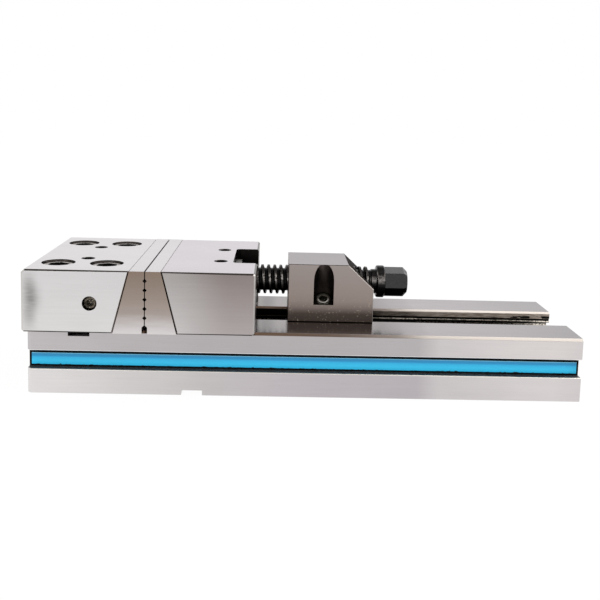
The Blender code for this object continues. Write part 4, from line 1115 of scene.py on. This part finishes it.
def cut_plate(name, face, foot):
    """Cut a plate, given the X of its gripping face and that of its foot's back."""
    piece = wedge(name, face, foot)
    for number in range(V_GROOVES):
        mill_diamond(piece, face, V_GROOVE_TOP - number * V_GROOVE_STEP, V_GROOVE_HALVES)
    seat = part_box(name)[0].z
    mill_diamond(piece, face, seat + FOOT_RELIEF_HEIGHT, FOOT_RELIEF_HALVES)
    mill_box(piece, face, seat, (2 * FOOT_RELIEF_HALVES[0], 2 * FOOT_RELIEF_HEIGHT))
    for side in (-1, 1):
        for radius, depth in PLATE_SCREW_HOLES:
            mill_hole(piece, face, side * PLATE_SCREW_Y, radius, depth)
    return piece


fixed_low, fixed_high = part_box("fixed_jaw_plate")
movable_low, movable_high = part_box("movable_jaw_plate")
pieces = {
    "fixed_jaw_plate": cut_plate("fixed_jaw_plate", fixed_high.x, fixed_low.x),
    "movable_jaw_plate": cut_plate("movable_jaw_plate", movable_low.x, movable_high.x),
}
for name, piece in pieces.items():
    reach = [corner[0] / MM for corner in piece.bound_box]
    print(f"{name} from {min(reach):.1f} to {max(reach):.1f} mm, {len(piece.data.polygons)} faces")

# %% Soften every stand-in
for name, width in SOFT_EDGES.items():
    if name not in pieces:
        pieces[name] = copy_of(name)
    soften(pieces[name], width)
    print(f"{name}: {len(pieces[name].data.polygons)} faces, edges rounded by {width} mm")

# %% [markdown]
# ## Putting the finishes on
# Every piece takes the finish of what it is. Each stand-in rides on its node's body and replaces
# the node. The nodes that have none are shut inside or nearly so, and keep their own meshes.

# %% Give each piece its finish


def finish_of(name):
    """The finish of a node, by what the piece is."""
    if name in jaw_finishes:
        return jaw_finishes[name]
    if name.startswith("fixed_jaw_bolt"):
        return bolts
    if name.startswith("nut_clamp_screw"):
        return clamp_screws
    if name.startswith("side_screw"):
        return grubs
    if "screw" in name or "key_" in name or "guide" in name:
        return oxide
    if name.endswith("strip"):
        return blue
    plain = {"bed": bed_finish, "nut_block": nut_finish, "spindle": spindle_finish}
    return plain.get(name, hard)


for name, node in nodes.items():
    for item in (node, pieces.get(name)):
        if item is not None:
            item.data.materials.clear()
            item.data.materials.append(finish_of(name))
    print(f"{name}: {finish_of(name).name}")

# %% Let the stand-ins ride


for name, piece in pieces.items():
    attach(piece, nodes[name]["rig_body"])
    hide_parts(name)

# %% [markdown]
# ## Floor and light
# The vise stands on a white sweep that has no visible edge. The floor is plain white for the
# camera and in reflections, and otherwise a matt white that takes a faint shadow. A dim ceiling
# and one broad lamp to the upper right darken the chamfers at the left and brighten them at the
# right, and the bed's chamfers also carry a painted reflection of the same.

# %% Floor
WHITE = (1.0, 1.0, 1.0, 1.0)
FLOOR_WHITE = (0.86, 0.86, 0.86, 1.0)
FLOOR_SIZE = 8.0
FLOOR_GAP = 0.1 * MM
FLOOR_GLOW = 1.03
FLOOR_SHARE = 0.93


def white_share(finish, shown):
    """How much of a surface is plain white: what is shown to the camera, and all in reflections."""
    path = finish.node("ShaderNodeLightPath", output="Is Camera Ray")
    mirrored = path.twin("Is Glossy Ray").larger(path.twin("Is Transmission Ray"))
    return (path * shown).larger(mirrored)


def add_floor():
    """A large floor, plain white to the camera except for a faint shadow."""
    bpy.ops.mesh.primitive_plane_add(size=FLOOR_SIZE, location=(0, 0, -FLOOR_GAP))
    floor = bpy.context.object
    floor.name = "floor"
    finish = Finish("floor_white", Roughness=0.9, Base_Color=FLOOR_WHITE)
    glow = finish.node("ShaderNodeEmission", {}, {"Color": WHITE, "Strength": FLOOR_GLOW})
    lit = Wire(finish, finish.shader.outputs[0])
    parts = {0: white_share(finish, FLOOR_SHARE), 1: lit, 2: glow}
    both = finish.node("ShaderNodeMixShader", {}, parts)
    finish.tree.links.new(both.socket, finish.tree.nodes["Material Output"].inputs["Surface"])
    floor.data.materials.append(finish.material)
    return floor


floor = add_floor()
print("floor in m:", list(floor.dimensions[:2]))

# %% World and lamps
HORIZON = (0.92, 0.92, 0.92, 1.0)
CEILING = (0.45, 0.43, 0.42, 1.0)
CEILING_RISE = (0.55, 0.9)


def add_world():
    """A white horizon under a dim ceiling, and plain white to the camera."""
    world = bpy.data.worlds.new("studio")
    bpy.context.scene.world = world
    world.use_nodes = True
    tree = world.node_tree
    background = tree.nodes["Background"]
    place = tree.nodes.new("ShaderNodeTexCoord")
    split = tree.nodes.new("ShaderNodeSeparateXYZ")
    climb = tree.nodes.new("ShaderNodeMapRange")
    climb.interpolation_type = "SMOOTHSTEP"
    climb.inputs["From Min"].default_value, climb.inputs["From Max"].default_value = CEILING_RISE
    sky = tree.nodes.new("ShaderNodeMix")
    sky.data_type = "RGBA"
    sky.inputs[6].default_value = HORIZON
    sky.inputs[7].default_value = CEILING
    path = tree.nodes.new("ShaderNodeLightPath")
    shown = tree.nodes.new("ShaderNodeMix")
    shown.data_type = "RGBA"
    shown.inputs[7].default_value = WHITE
    tree.links.new(place.outputs["Generated"], split.inputs[0])
    tree.links.new(split.outputs["Z"], climb.inputs["Value"])
    tree.links.new(climb.outputs[0], sky.inputs["Factor"])
    tree.links.new(sky.outputs[2], shown.inputs[6])
    tree.links.new(path.outputs["Is Camera Ray"], shown.inputs["Factor"])
    tree.links.new(shown.outputs[2], background.inputs["Color"])


def add_lamp(name, place, target, width, height, brightness):
    """A soft lamp that faces a target. Brightness 1 makes its own face plain white."""
    lamp = bpy.data.lights.new(name, "AREA")
    lamp.shape = "RECTANGLE"
    lamp.size = width
    lamp.size_y = height
    lamp.energy = brightness * math.pi * width * height
    item = bpy.data.objects.new(name, lamp)
    bpy.context.scene.collection.objects.link(item)
    item.location = place
    aim = Vector(target) - Vector(place)
    item.rotation_euler = aim.to_track_quat("-Z", "Y").to_euler()
    return item


add_world()
lamps = [
    add_lamp(
        "upper_right_lamp",
        place=(0.62, -0.05, 1.0),
        target=(0.1, 0, 0),
        width=0.8,
        height=0.9,
        brightness=2.2,
    ),
    add_lamp(
        "front_left_lamp",
        place=(-0.9, -1.3, 0.9),
        target=(0, 0, 0),
        width=0.9,
        height=0.9,
        brightness=1.2,
    ),
]
bpy.context.scene.view_settings.view_transform = "Standard"
print("lamps:", [lamp.name for lamp in lamps])
